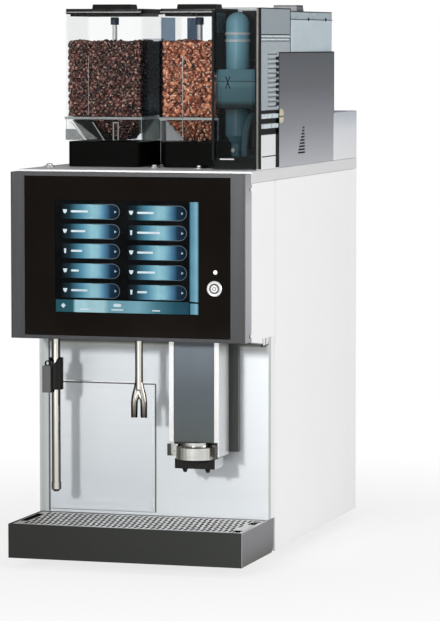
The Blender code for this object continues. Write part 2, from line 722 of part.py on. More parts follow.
def make_control_panel(plastic, glass, screen, chrome, lamp_lens, rubber):
    """Swinging control panel: frame, glass, touch screen, lamp and power button."""
    x, y = hinge_axis()
    origin = (x, y, BASE + PANEL_BOTTOM)
    front = FRONT + PANEL_SETBACK
    back = FRONT + PANEL_BACK
    low, high = BASE + PANEL_BOTTOM, BASE + PANEL_TOP
    outline = [(LEFT, back), (LEFT, front + PANEL_EDGE_ROUND), (LEFT + PANEL_EDGE_ROUND, front)]
    outline += [(RIGHT - PANEL_EDGE_ROUND, front), (RIGHT, front + PANEL_EDGE_ROUND), (RIGHT, back)]
    frame = prism(outline, low, high)
    opening_x = (LEFT + PROFILE_WIDTH, RIGHT - PROFILE_WIDTH)
    opening_z = (low + PANEL_RIM, high - PANEL_RIM)
    bed = front + GLASS_THICKNESS + GAP
    pocket = block(opening_x, (front - OVERRUN, bed), opening_z)
    hollow = block(opening_x, (bed + WEB_THICKNESS, back + OVERRUN), opening_z)
    screen_x = (LEFT + SCREEN_LEFT, LEFT + SCREEN_RIGHT)
    screen_z = (BASE + SCREEN_BOTTOM, BASE + SCREEN_TOP)
    window = block((screen_x[0] - GAP, screen_x[1] + GAP), (front - OVERRUN, bed + WEB_THICKNESS + OVERRUN),
                   (screen_z[0] - GAP, screen_z[1] + GAP))
    button = (LEFT + BUTTON_X, front, BASE + BUTTON_Z)
    lamp = (LEFT + LAMP_X, front, BASE + LAMP_Z)
    hole = disc(BUTTON_RADIUS + GAP, -OVERRUN, back - front, button, "y")
    notches = []
    bores = []
    ears_top = high - HINGE_EAR_DROP - HINGE_EAR_HEIGHT - (high - SIDE_TOP)
    for bottom in (low + HINGE_EAR_DROP, ears_top):
        notches.append(block((x - HINGE_NOTCH, RIGHT + OVERRUN), (y - HINGE_NOTCH * 2 / 3, back + OVERRUN),
                             (bottom - GAP, bottom + HINGE_EAR_HEIGHT + GAP)))
    reach = HINGE_PIN_LENGTH + GAP
    bores.append(disc(HINGE_PIN_RADIUS + GAP, 0, HINGE_EAR_HEIGHT + reach,
                      (x, y, low + HINGE_EAR_DROP), steps=TUBE_SIDES))
    bores.append(disc(HINGE_PIN_RADIUS + GAP, -reach, HINGE_EAR_HEIGHT, (x, y, ears_top), steps=TUBE_SIDES))
    frame = cut(frame, pocket, hollow, window, hole, *notches, *bores)
    finish("panel_frame", frame, plastic, origin)

    sheet = block((opening_x[0] + GAP, opening_x[1] - GAP), (front, front + GLASS_THICKNESS),
                  (opening_z[0] + GAP, opening_z[1] - GAP))
    glass_window = block((screen_x[0] - GAP, screen_x[1] + GAP), (front - OVERRUN, bed + OVERRUN),
                         (screen_z[0] - GAP, screen_z[1] + GAP))
    ring_hole = disc(BUTTON_RING_RADIUS + GAP, -OVERRUN, GLASS_THICKNESS + OVERRUN, button, "y")
    lamp_hole = disc(LAMP_RADIUS + GAP, -OVERRUN, GLASS_THICKNESS + OVERRUN, lamp, "y", TUBE_SIDES)
    finish("panel_glass", cut(sheet, glass_window, ring_hole, lamp_hole), glass, origin)

    display = block(screen_x, (front + GAP, front + SCREEN_THICKNESS), screen_z)
    finish("touch_screen", display, screen, origin)
    dot = disc(LAMP_RADIUS, GAP, GLASS_THICKNESS, lamp, "y", TUBE_SIDES)
    finish("status_lamp", dot, lamp_lens, origin, smooth=True)

    inner = BUTTON_RADIUS + GAP
    ring = turned([(inner, -BUTTON_PROUD / 2), (BUTTON_RING_RADIUS - BUTTON_PROUD, -BUTTON_PROUD),
                   (BUTTON_RING_RADIUS, 0), (BUTTON_RING_RADIUS, GLASS_THICKNESS),
                   (inner, GLASS_THICKNESS)], button, "y")
    finish("button_ring", ring, chrome, origin, smooth=True)
    cap = turned([(0, -BUTTON_PROUD / 2), (BUTTON_RADIUS - BUTTON_PROUD, -BUTTON_PROUD / 2),
                  (BUTTON_RADIUS, BUTTON_PROUD / 2), (BUTTON_RADIUS, BUTTON_LENGTH), (0, BUTTON_LENGTH)],
                 button, "y")
    finish("power_button", cap, rubber, button, smooth=True)


def make_steam_wand(steel, plastic):
    """Steam pipe on a ball, in a cup that turns under the head, with a heat-safe grip."""
    x, y = LEFT + WAND_X, FRONT + WAND_SETBACK
    mouth = HEAD_Z + SHEET + GAP
    centre_z = mouth + BALL_LEVEL
    bore = WAND_BALL_RADIUS + GAP
    crown = centre_z + bore
    cup_top = crown + CUP_TOP
    cup = turned([(0, crown), (bore, crown), (bore, centre_z - WAND_BALL_RADIUS / 4), (CUP_MOUTH_RADIUS, mouth),
                  (CUP_FLANGE_RADIUS, mouth), (CUP_FLANGE_RADIUS, mouth + CUP_FLANGE_HEIGHT),
                  (CUP_RADIUS, mouth + CUP_FLANGE_HEIGHT), (CUP_RADIUS, cup_top), (0, cup_top)], (x, y, 0))
    finish("wand_cup", cup, steel, (x, y, mouth), smooth=True)

    low = BASE + WAND_BOTTOM
    profile = [(0, low), (WAND_TIP_RADIUS / 2, low), (WAND_TIP_RADIUS, low + WAND_TIP_RADIUS / 2)]
    profile += [(WAND_TIP_RADIUS, low + WAND_TIP_LENGTH), (WAND_RADIUS, low + WAND_TIP_LENGTH)]
    start = math.asin(WAND_RADIUS / WAND_BALL_RADIUS)
    steps = TUBE_SIDES // 2
    for i in range(steps + 1):
        angle = start + (math.pi - start) * i / steps
        radius = WAND_BALL_RADIUS * math.sin(angle) if i < steps else 0
        profile.append((radius, centre_z - WAND_BALL_RADIUS * math.cos(angle)))
    joint = (x, y, centre_z)
    finish("steam_wand", turned(profile, (x, y, 0)), steel, joint, smooth=True)

    inner, outer = WAND_RADIUS + GAP, WAND_RADIUS + GAP + GRIP_WALL
    bottom, top = BASE + GRIP_BOTTOM, BASE + GRIP_TOP
    sleeve = turned([(inner, bottom), (outer, bottom), (outer, top), (inner, top)], (x, y, 0))
    tab_outline = rounded((x - TAB_REACH, x - TAB_REACH + TAB_WIDTH),
                          (y - TAB_FRONT, y - TAB_FRONT + TAB_DEPTH), TAB_ROUND)
    tab = prism(tab_outline, BASE + TAB_BOTTOM, BASE + TAB_TOP)
    arm = block((x - outer, x - inner / 2), (y - TAB_FRONT + TAB_ROUND, y - inner / 2),
                (bottom + GRIP_WALL, BASE + TAB_TOP - GRIP_WALL))
    notch = prism([(x, top - GRIP_NOTCH), (x + outer + GRIP_WALL, top + GRIP_WALL),
                   (x - outer - GRIP_WALL, top + GRIP_WALL)],
                  y - outer - OVERRUN, y, "y")
    bore = disc(inner, bottom - OVERRUN, top + OVERRUN, (x, y, 0))
    grip = cut(unite(sleeve, tab, arm), notch, bore)
    finish("wand_grip", grip, plastic, joint)


def make_spout(steel):
    """Pipe under the head that forks into two short spouts."""
    x, y = LEFT + SPOUT_X, FRONT + SPOUT_SETBACK
    fork, end = BASE + SPOUT_FORK, BASE + SPOUT_END
    top = HEAD_Z - GAP
    pipe = turned([(0, fork - SPOUT_RADIUS), (SPOUT_RADIUS / 2, fork - SPOUT_RADIUS), (SPOUT_RADIUS, fork),
                   (SPOUT_RADIUS, top - SPOUT_FLANGE_HEIGHT), (SPOUT_FLANGE_RADIUS, top - SPOUT_FLANGE_HEIGHT),
                   (SPOUT_FLANGE_RADIUS, top), (0, top)], (x, y, 0))
    legs = []
    for side in (-1, 1):
        spread = side * SPOUT_SPREAD
        drop = (fork - end) / 2
        route = []
        for i in range(SPOUT_BEND_STEPS + 1):
            share = i / SPOUT_BEND_STEPS
            route.append((x + spread * (1 - math.cos(math.pi * share)) / 2, y, fork - drop * share))
        route.append((x + spread, y, end))
        legs.append(tube(route, SPOUT_TIP_RADIUS))
    finish("hot_water_spout", unite(pipe, *legs), steel, smooth=True)


def make_outlet(steel, cover, plastic):
    """Coffee outlet that slides on its rail: channel, front cover, ring clamp and nozzle block."""
    left = LEFT + OUTLET_LEFT
    right = left + OUTLET_WIDTH
    front = FRONT + OUTLET_SETBACK
    back = front + OUTLET_DEPTH
    low, high = BASE + OUTLET_BOTTOM, BASE + OUTLET_TOP
    middle = (left + right) / 2
    ring_y = front + RING_SETBACK
    ring_low = low - GAP - RING_HEIGHT
    origin = (middle, back, low)
    wall = OUTLET_WALL
    outline = [(left, front), (left + OUTLET_LIP, front), (left + OUTLET_LIP, front + 2 * wall)]
    outline += [(left + wall, front + 2 * wall), (left + wall, back - wall)]
    outline += [(right - wall, back - wall), (right - wall, front + 2 * wall)]
    outline += [(right - OUTLET_LIP, front + 2 * wall), (right - OUTLET_LIP, front)]
    outline += [(right, front), (right, back), (left, back)]
    channel = prism(outline, low, high)
    floor = block((left + wall - WELD, right - wall + WELD), (front + 2 * wall, back - wall + WELD),
                  (low, low + wall))
    hole = disc(OUTLET_HOLE_RADIUS, -OVERRUN, OVERRUN, (middle, ring_y, low))
    lug_y = (ring_y - LUG_DEPTH / 2, ring_y + LUG_DEPTH / 2)
    notch_y = lug_y[1] + CHEEK_GAP
    outline = [(left, notch_y), (left + wall, notch_y), (left + wall, back - wall), (right - wall, back - wall)]
    outline += [(right - wall, front), (right, front), (right, back), (left, back)]
    cheeks = prism(outline, ring_low + LUG_LIFT, low + wall / 2)
    finish("outlet_channel", cut(unite(channel, cheeks, floor), hole), steel, origin)

    plate = block((left + OUTLET_LIP + GAP, right - OUTLET_LIP - GAP), (front + wall / 2, front + 2 * wall),
                  (low, high))
    finish("outlet_cover", plate, cover, origin)

    inner = RING_RADIUS - RING_WALL
    neck = RING_HEIGHT - RING_NECK_HEIGHT
    ring = turned([(inner, 0), (RING_RADIUS, 0), (RING_RADIUS, neck - RING_SHOULDER), (RING_RADIUS - RING_SHOULDER, neck),
                   (RING_NECK_RADIUS, neck), (RING_NECK_RADIUS, RING_HEIGHT), (RING_NECK_RADIUS - RING_WALL, RING_HEIGHT),
                   (RING_NECK_RADIUS - RING_WALL, neck - RING_WALL), (inner, neck - RING_WALL)],
                  (middle, ring_y, ring_low), steps=FINE_ROUND)
    lug_z = (ring_low + LUG_LIFT, ring_low + LUG_LIFT + LUG_HEIGHT)
    lugs = [block((middle - LUG_LEFT_REACH, middle - LUG_ROOT), lug_y, lug_z)]
    lugs.append(block((middle + LUG_ROOT, middle + LUG_RIGHT_REACH), lug_y, lug_z))
    core = disc(inner, -OVERRUN, neck - RING_WALL, (middle, ring_y, ring_low), steps=FINE_ROUND)
    finish("outlet_ring", cut(unite(ring, *lugs), core), steel, origin, smooth=True)

    nozzle_low = BASE + NOZZLE_BOTTOM
    plug = disc(inner - GAP, ring_low - GAP - WELD, ring_low + neck - RING_WALL - GAP,
                (middle, ring_y, 0), steps=FINE_ROUND)
    nozzle_front = front + NOZZLE_SETBACK
    block_outline = rounded((middle - NOZZLE_SIDE, middle + NOZZLE_SIDE),
                            (nozzle_front, nozzle_front + NOZZLE_DEPTH), NOZZLE_CORNER)
    body = unite(prism(block_outline, nozzle_low, ring_low - GAP), plug)
    tips = []
    for side in (-1, 1):
        place_at = (middle + side * NOZZLE_TIP_SPREAD, ring_y, nozzle_low)
        tips.append(turned([(0, -NOZZLE_TIP_LENGTH), (NOZZLE_TIP_RADIUS / 2, -NOZZLE_TIP_LENGTH),
                            (NOZZLE_TIP_RADIUS, WELD), (0, WELD)], place_at, steps=TUBE_SIDES))
    finish("outlet_nozzles", unite(body, *tips), plastic, origin, smooth=True)


def make_outlet_rail(plastic):
    """Fixed guide on the wall that the outlet slides on."""
    left = LEFT + OUTLET_LEFT - RAIL_SIDE
    right = LEFT + OUTLET_LEFT + OUTLET_WIDTH + RAIL_SIDE
    back = WALL_Y - GAP
    middle = (left + right) / 2
    low, high = BASE + RAIL_BOTTOM, SIDE_TOP - SHEET
    plate = block((left, right), (back - RAIL_THICKNESS, back), (low, high))
    tongue_front = FRONT + OUTLET_SETBACK + OUTLET_DEPTH + GAP
    tongue = block((middle - RAIL_TONGUE / 2, middle + RAIL_TONGUE / 2),
                   (tongue_front, back - RAIL_THICKNESS + WELD), (low, high))
    finish("outlet_rail", unite(plate, tongue), plastic)


def make_drip_tray(plastic):
    """Tray with a grille ledge above and a skirt below that hides the runners."""
    low, high = BASE, BASE + TRAY_HEIGHT
    corner = TRAY_BOTTOM_CORNER
    back = FRONT + TRAY_DEPTH
    outline = [(FRONT, low), (back - corner, low), (back, low + corner), (back, high), (FRONT, high)]
    body = prism(outline, LEFT, RIGHT, "x")
    rim = (LEFT + TRAY_WALL, RIGHT - TRAY_WALL)
    ledge = block(rim, (FRONT + TRAY_WALL, FRONT + TRAY_WALL + GRILLE_DEPTH),
                  (high - GRILLE_THICKNESS - GAP, high + OVERRUN))
    floor_top = BASE + PAN_LIFT + RUNNER_HEIGHT + GAP + TRAY_FLOOR
    basin = block((rim[0] + GRILLE_LEDGE, rim[1] - GRILLE_LEDGE),
                  (FRONT + TRAY_WALL + GRILLE_LEDGE, FRONT + TRAY_WALL + GRILLE_DEPTH - GRILLE_LEDGE),
                  (floor_top, high))
    under = block((LEFT + TRAY_WALL, RIGHT - TRAY_WALL), (FRONT + TRAY_WALL, back + OVERRUN),
                  (low - OVERRUN, floor_top - TRAY_FLOOR))
    finish("drip_tray", cut(body, ledge, basin, under), plastic, (0, FRONT, BASE))


def make_grille(steel):
    """Stainless grille with rows of slots, resting on the tray's ledge."""
    high = BASE + TRAY_HEIGHT
    x0, x1 = LEFT + TRAY_WALL + GAP, RIGHT - TRAY_WALL - GAP
    y0 = FRONT + TRAY_WALL + GAP
    y1 = FRONT + TRAY_WALL + GRILLE_DEPTH - GAP
    span = SLOT_PITCH * (SLOT_COLUMNS - 1) + SLOT_WIDTH
    first = (x0 + x1) / 2 - span / 2
    xs = [x0]
    for i in range(SLOT_COLUMNS):
        xs += [first + i * SLOT_PITCH, first + i * SLOT_PITCH + SLOT_WIDTH]
    xs.append(x1)
    length = (y1 - y0 - SLOT_BAR * (SLOT_ROWS + 1)) / SLOT_ROWS
    ys = [y0]
    for i in range(SLOT_ROWS):
        start = y0 + SLOT_BAR + i * (length + SLOT_BAR)
        ys += [start, start + length]
    ys.append(y1)
    shape = bmesh.new()
    grid = [[shape.verts.new((x, y, high)) for y in ys] for x in xs]
    for i in range(len(xs) - 1):
        for j in range(len(ys) - 1):
            if i % 2 == 1 and j % 2 == 1:
                continue
            shape.faces.new((grid[i][j], grid[i + 1][j], grid[i + 1][j + 1], grid[i][j + 1]))
    extruded = bmesh.ops.extrude_face_region(shape, geom=list(shape.faces))
    moved = [item for item in extruded["geom"] if isinstance(item, bmesh.types.BMVert)]
    bmesh.ops.translate(shape, verts=moved, vec=(0, 0, -GRILLE_THICKNESS))
    bmesh.ops.recalc_face_normals(shape, faces=shape.faces)
    mesh = bpy.data.meshes.new("drip_grille")
    shape.to_mesh(mesh)
    shape.free()
    thing = bpy.data.objects.new("drip_grille", mesh)
    bpy.context.scene.collection.objects.link(thing)
    finish("drip_grille", thing, steel, (0, FRONT, high))


def hopper_centres():
    return (LEFT + LEFT_HOPPER_X + LEFT_HOPPER_WIDTH / 2, LEFT + RIGHT_HOPPER_X + RIGHT_HOPPER_WIDTH / 2)


def hopper_y():
    return FRONT + HOPPER_SETBACK + HOPPER_DEPTH / 2


def throat_y():
    return hopper_y() + THROAT_SHIFT


def make_hopper(side, x, width, clear, black, steel, bean_brown):
    """Bean hopper: base, clear container, lid with its grip, locking rod and the beans."""
    left, right = LEFT + x, LEFT + x + width
    front = FRONT + HOPPER_SETBACK
    back = front + HOPPER_DEPTH
    middle = (left + right) / 2
    inset = HOPPER_INSET
    throat = (middle, throat_y(), DECK)

    foot = HOPPER_BASE_INSET
    base = prism(rounded((left + foot, right - foot), (front + foot, back - foot), HOPPER_CORNER),
                 DECK + GAP, DECK + HOPPER_BASE_HEIGHT)
    bore = disc(THROAT_RADIUS, -OVERRUN, HOPPER_BASE_HEIGHT + OVERRUN, throat)
    finish(side + "_hopper_base", cut(base, bore), black)

    neck_low = DECK + HOPPER_BASE_HEIGHT + GAP
    neck_top = DECK + HOPPER_NECK_TOP
    top = DECK + HOPPER_TOP
    wall = HOPPER_WALL
    neck = prism(rounded((left + inset, right - inset), (front + inset, back - inset), HOPPER_CORNER),
                 neck_low, neck_top)
    body = prism(rounded((left, right), (front, back), HOPPER_CORNER), neck_top - WELD, top)
    lip = HOPPER_FLANGE / 2
    flange = prism(rounded((left - lip, right + lip), (front - lip, back + lip), HOPPER_CORNER + lip),
                   neck_top - HOPPER_FLANGE, neck_top + HOPPER_FLANGE / 2)
    inner_neck = prism(rounded((left + inset + wall, right - inset - wall),
                               (front + inset + wall, back - inset - wall), HOPPER_CORNER - wall),
                       neck_low - OVERRUN, neck_top + HOPPER_WALL + WELD)
    inner = prism(rounded((left + wall, right - wall), (front + wall, back - wall), HOPPER_CORNER - wall),
                  neck_top + HOPPER_WALL, top + OVERRUN)
    shell = cut(unite(neck, body, flange), inner_neck)
    half = THROAT_RADIUS + FUNNEL_MARGIN
    funnel_top = neck_top + HOPPER_WALL

    def funnel(grow, trim, low, high):
        """Slanted box from the throat's outline out to the container's wall."""
        mouth = rounded((middle - half - grow, middle + half + grow),
                        (hopper_y() - FUNNEL_FRONT - grow, throat_y() + half + grow), HOPPER_CORNER - wall)
        crown = rounded((left + inset + trim, right - inset - trim), (front + inset + trim, back - inset - trim),
                        HOPPER_CORNER - wall)
        return loft(mouth, crown, low, high)

    solid_funnel = funnel(wall, wall - WELD, neck_low, funnel_top)
    hollow_funnel = funnel(0, wall, neck_low, funnel_top + WELD)
    mouth_cut = prism(rounded((middle - half, middle + half), (hopper_y() - FUNNEL_FRONT, throat_y() + half),
                              HOPPER_CORNER - wall), neck_low - OVERRUN, neck_low + WELD)
    container = cut(unite(shell, solid_funnel), hollow_funnel, mouth_cut, inner)
    finish(side + "_hopper", container, clear)

    rod_low = neck_low
    rod = turned([(0, 0), (ROD_RADIUS, 0), (ROD_RADIUS, ROD_HEIGHT - ROD_CAP_HEIGHT),
                  (ROD_CAP_RADIUS, ROD_HEIGHT - ROD_CAP_HEIGHT), (ROD_CAP_RADIUS, ROD_HEIGHT - ROD_RADIUS / 4),
                  (ROD_CAP_RADIUS - ROD_RADIUS / 4, ROD_HEIGHT), (0, ROD_HEIGHT)],
                 (middle, hopper_y(), rod_low), steps=TUBE_SIDES)
    finish(side + "_hopper_rod", rod, steel, smooth=True)

    gap = wall + GAP
    fill_low = funnel(-2 * GAP, wall + 2 * GAP, neck_low, funnel_top + WELD)
    level = DECK + BEAN_LEVEL
    outline = rounded((left + gap, right - gap), (front + gap, back - gap), HOPPER_CORNER - wall)
    crown = rounded((left + gap + BEAN_LEVEL / 12, right - gap - BEAN_LEVEL / 12),
                    (front + gap + BEAN_LEVEL / 12, back - gap - BEAN_LEVEL / 12), HOPPER_CORNER - wall)
    fill_high = prism(outline, funnel_top + GAP, level)
    joint = prism(rounded((left + inset + gap, right - inset - gap), (front + inset + gap, back - inset - gap),
                          HOPPER_CORNER - wall), funnel_top, funnel_top + GAP + WELD)
    heap = loft(outline, crown, level - WELD, level + BEAN_CROWN)
    hole = disc(ROD_RADIUS + GAP, 0, BEAN_LEVEL, (middle, hopper_y(), neck_low - OVERRUN),
                steps=TUBE_SIDES)
    finish(side + "_beans", cut(unite(fill_low, joint, fill_high, heap), hole), bean_brown)

    lid_low = top + GAP
    lid_top = lid_low + HOPPER_LID_THICKNESS
    lid = prism(rounded((left, right), (front, back), HOPPER_CORNER), lid_low, lid_top)
    tongue = prism(rounded((left + 2 * gap, right - 2 * gap), (front + 2 * gap, back - 2 * gap),
                           HOPPER_CORNER - wall), top - HOPPER_FLANGE, lid_low + WELD)
    grip_y = hopper_y()
    grip = loft(rounded((middle - KNOB_WIDTH / 2, middle + KNOB_WIDTH / 2),
                        (grip_y - KNOB_DEPTH / 2, grip_y + KNOB_DEPTH / 2), KNOB_TAPER),
                rounded((middle - KNOB_WIDTH / 2 + KNOB_TAPER, middle + KNOB_WIDTH / 2 - KNOB_TAPER),
                        (grip_y - KNOB_DEPTH / 2 + KNOB_TAPER, grip_y + KNOB_DEPTH / 2 - KNOB_TAPER), KNOB_TAPER),
                lid_top - WELD, lid_top + KNOB_HEIGHT)
    finish(side + "_hopper_lid", unite(lid, tongue, grip), black, (middle, grip_y, lid_low))


def make_grinder(side, x, metal, steel):
    """Grinder that hangs under the deck, with its motor, and the turning burr inside it."""
    y = throat_y()
    top = DECK - SHEET - GAP
    low = top - GRINDER_HEIGHT
    wall = GRINDER_WALL
    chamber = GRINDER_RADIUS - wall
    neck_top = top + SHEET + NECK_LENGTH
    bore = NECK_RADIUS - NECK_WALL
    shaft_hole = BURR_SHAFT_RADIUS + GAP
    motor_low = low - MOTOR_HEIGHT
    body = turned([(bore, neck_top), (NECK_RADIUS, neck_top), (NECK_RADIUS, top), (GRINDER_RADIUS, top),
                   (GRINDER_RADIUS, low), (MOTOR_RADIUS, low), (MOTOR_RADIUS, motor_low),
                   (shaft_hole, motor_low), (shaft_hole, low + wall), (chamber, low + wall),
                   (chamber, top - wall), (bore, top - wall)], (x, y, 0))
    finish(side + "_grinder", body, metal, smooth=True)

    burr_low = low + wall + GAP
    burr_top = burr_low + BURR_HEIGHT
    shaft_low = burr_low - BURR_SHAFT_LENGTH
    burr = turned([(0, shaft_low), (BURR_SHAFT_RADIUS, shaft_low), (BURR_SHAFT_RADIUS, burr_low),
                   (BURR_RADIUS, burr_low), (BURR_RADIUS, burr_low + BURR_HEIGHT / 2),
                   (BURR_RADIUS / 2, burr_top), (0, burr_top)], (x, y, 0))
    notches = []
    for i in range(BURR_NOTCHES):
        angle = 2 * math.pi * i / BURR_NOTCHES
        centre = (x + BURR_RADIUS * math.cos(angle), y + BURR_RADIUS * math.sin(angle), burr_low)
        notches.append(disc(BURR_NOTCH_RADIUS, -OVERRUN / 2, BURR_HEIGHT, centre, steps=TUBE_SIDES // 2))
    finish(side + "_burr", cut(burr, *notches), steel, (x, y, burr_low))


def make_brew_unit(black, teal, steel, smoke, plate_metal, hose_rubber):
    """Brew unit on the deck: base, cylinder with its yoke, piston, hose, side plate and smoked cover."""
    left = LEFT + UNIT_LEFT
    front = FRONT + UNIT_SETBACK
    back = front + UNIT_DEPTH
    plate_left = RIGHT - SIDE_PLATE_INSET - SIDE_PLATE_THICKNESS
    wall = COVER_WALL
    x, y = LEFT + CYLINDER_X, FRONT + CYLINDER_SETBACK
    floor = DECK + GAP
    base_top = DECK + UNIT_BASE_HEIGHT
    inner = (left + wall + GAP, plate_left - GAP)
    base = block(inner, (front + wall + GAP, back), (floor, base_top))
    rear_wall = block(inner, (back - wall, back), (base_top - WELD, DECK + UNIT_HEIGHT - wall - GAP))
    bore = disc(SLEEVE_NECK_RADIUS, -OVERRUN, UNIT_BASE_HEIGHT + OVERRUN, (x, y, DECK))
    finish("brew_base", cut(unite(base, rear_wall), bore), black)

    sleeve_low = base_top + GAP
    yoke = prism(rounded((inner[0] + COLLAR_LEFT_INSET, inner[0] + COLLAR_LEFT_INSET + COLLAR_WIDTH),
                         (front + 2 * wall, front + 2 * wall + COLLAR_DEPTH), COLLAR_CORNER),
                 DECK + COLLAR_BOTTOM, DECK + COLLAR_TOP)
    sleeve = turned([(0, sleeve_low), (SLEEVE_NECK_RADIUS, sleeve_low), (SLEEVE_NECK_RADIUS, DECK + SLEEVE_NECK_TOP),
                     (SLEEVE_RADIUS, DECK + SLEEVE_BOTTOM), (SLEEVE_RADIUS, DECK + COLLAR_BOTTOM + WELD),
                     (0, DECK + COLLAR_BOTTOM + WELD)], (x, y, 0))
    crown = DECK + CYLINDER_TOP
    profile = [(0, DECK + COLLAR_TOP - WELD), (CYLINDER_RADIUS, DECK + COLLAR_TOP - WELD)]
    for i in range(2):
        z = DECK + BAND_LEVEL + (i - 1) * BAND_STEP
        profile += [(CYLINDER_RADIUS, z), (CYLINDER_RADIUS + BAND_PROUD, z)]
        profile += [(CYLINDER_RADIUS + BAND_PROUD, z + BAND_HEIGHT), (CYLINDER_RADIUS, z + BAND_HEIGHT)]
    steps = TUBE_SIDES // 2
    for i in range(steps + 1):
        angle = math.pi / 2 * i / steps
        radius = CYLINDER_RADIUS * math.cos(angle) if i < steps else 0
        profile.append((radius, crown - CYLINDER_RADIUS + CYLINDER_RADIUS * math.sin(angle)))
    dome = turned(profile, (x, y, 0))
    bore_top = crown - CYLINDER_WALL - (CYLINDER_RADIUS - PISTON_RADIUS)
    chamber = disc(PISTON_RADIUS + GAP, DECK + SLEEVE_BOTTOM, bore_top - CYLINDER_WALL, (x, y, 0))
    neck_bore = disc(PISTON_FOOT_RADIUS + GAP, sleeve_low - OVERRUN, DECK + SLEEVE_BOTTOM + WELD, (x, y, 0))
    finish("brew_cylinder", cut(unite(yoke, sleeve, dome), chamber, neck_bore), teal, smooth=True)

    piston_top = bore_top - CYLINDER_WALL - PISTON_TRAVEL - OVERRUN
    head_low = piston_top - PISTON_HEAD_HEIGHT
    piston = turned([(0, sleeve_low), (PISTON_FOOT_RADIUS, sleeve_low),
                     (PISTON_FOOT_RADIUS, sleeve_low + SHEET),
                     (PISTON_ROD_RADIUS, sleeve_low + SHEET), (PISTON_ROD_RADIUS, head_low),
                     (PISTON_RADIUS, head_low), (PISTON_RADIUS, piston_top), (0, piston_top)], (x, y, 0))
    finish("brew_piston", piston, steel, (x, y, sleeve_low), smooth=True)

    hose_x, hose_y = LEFT + HOSE_X, FRONT + HOSE_SETBACK
    route = [(hose_x - HOSE_LEAN, hose_y, sleeve_low)]
    steps = 2 * TUBE_SIDES
    for i in range(steps + 1):
        angle = math.pi * i / steps
        route.append((hose_x - HOSE_LEAN * (1 + math.cos(angle)) / 2, hose_y + HOSE_LOOP_DEPTH / 2 * (1 - math.cos(angle)),
                      sleeve_low + HOSE_RADIUS * 2 + HOSE_LOOP_HEIGHT * math.sin(angle)))
    route.append((hose_x, hose_y + HOSE_LOOP_DEPTH, sleeve_low))
    finish("brew_hose", tube(route, HOSE_RADIUS, TUBE_SIDES // 2 + 2), hose_rubber, smooth=True)

    plate_y = (FRONT + SIDE_PLATE_SETBACK, back)
    plate_right = plate_left + SIDE_PLATE_THICKNESS
    high = DECK + UNIT_HEIGHT
    plate = block((plate_left, plate_right), plate_y, (floor, high))
    grooves = []
    for i in range(LOUVRE_COUNT):
        z = high - LOUVRE_TOP_DROP - i * LOUVRE_PITCH
        y0 = plate_y[0] + LOUVRE_FRONT_INSET
        grooves.append(block((plate_right - LOUVRE_DEPTH, plate_right + OVERRUN), (y0, y0 + LOUVRE_LENGTH),
                             (z - LOUVRE_HEIGHT, z)))
    seat = block((RIGHT - COVER_SHEET - GAP, RIGHT + OVERRUN), (FRONT + COVER_SETBACK - GAP, back + OVERRUN),
                 (floor - OVERRUN, DECK + COVER_HEIGHT + GAP))
    finish("brew_side_plate", cut(plate, *grooves, seat), plate_metal)

    cover_right = plate_left - GAP
    corner = COVER_CORNER
    outline = [(left, back), (left, front + corner), (left + corner, front), (cover_right, front)]
    outline.append((cover_right, back))
    hood = prism(outline, floor, high)
    hollow = block((left + wall, cover_right + OVERRUN), (front + wall, back + OVERRUN),
                   (floor - OVERRUN, high - wall))
    finish("smoked_cover", cut(hood, hollow), smoke, (left, front, floor))


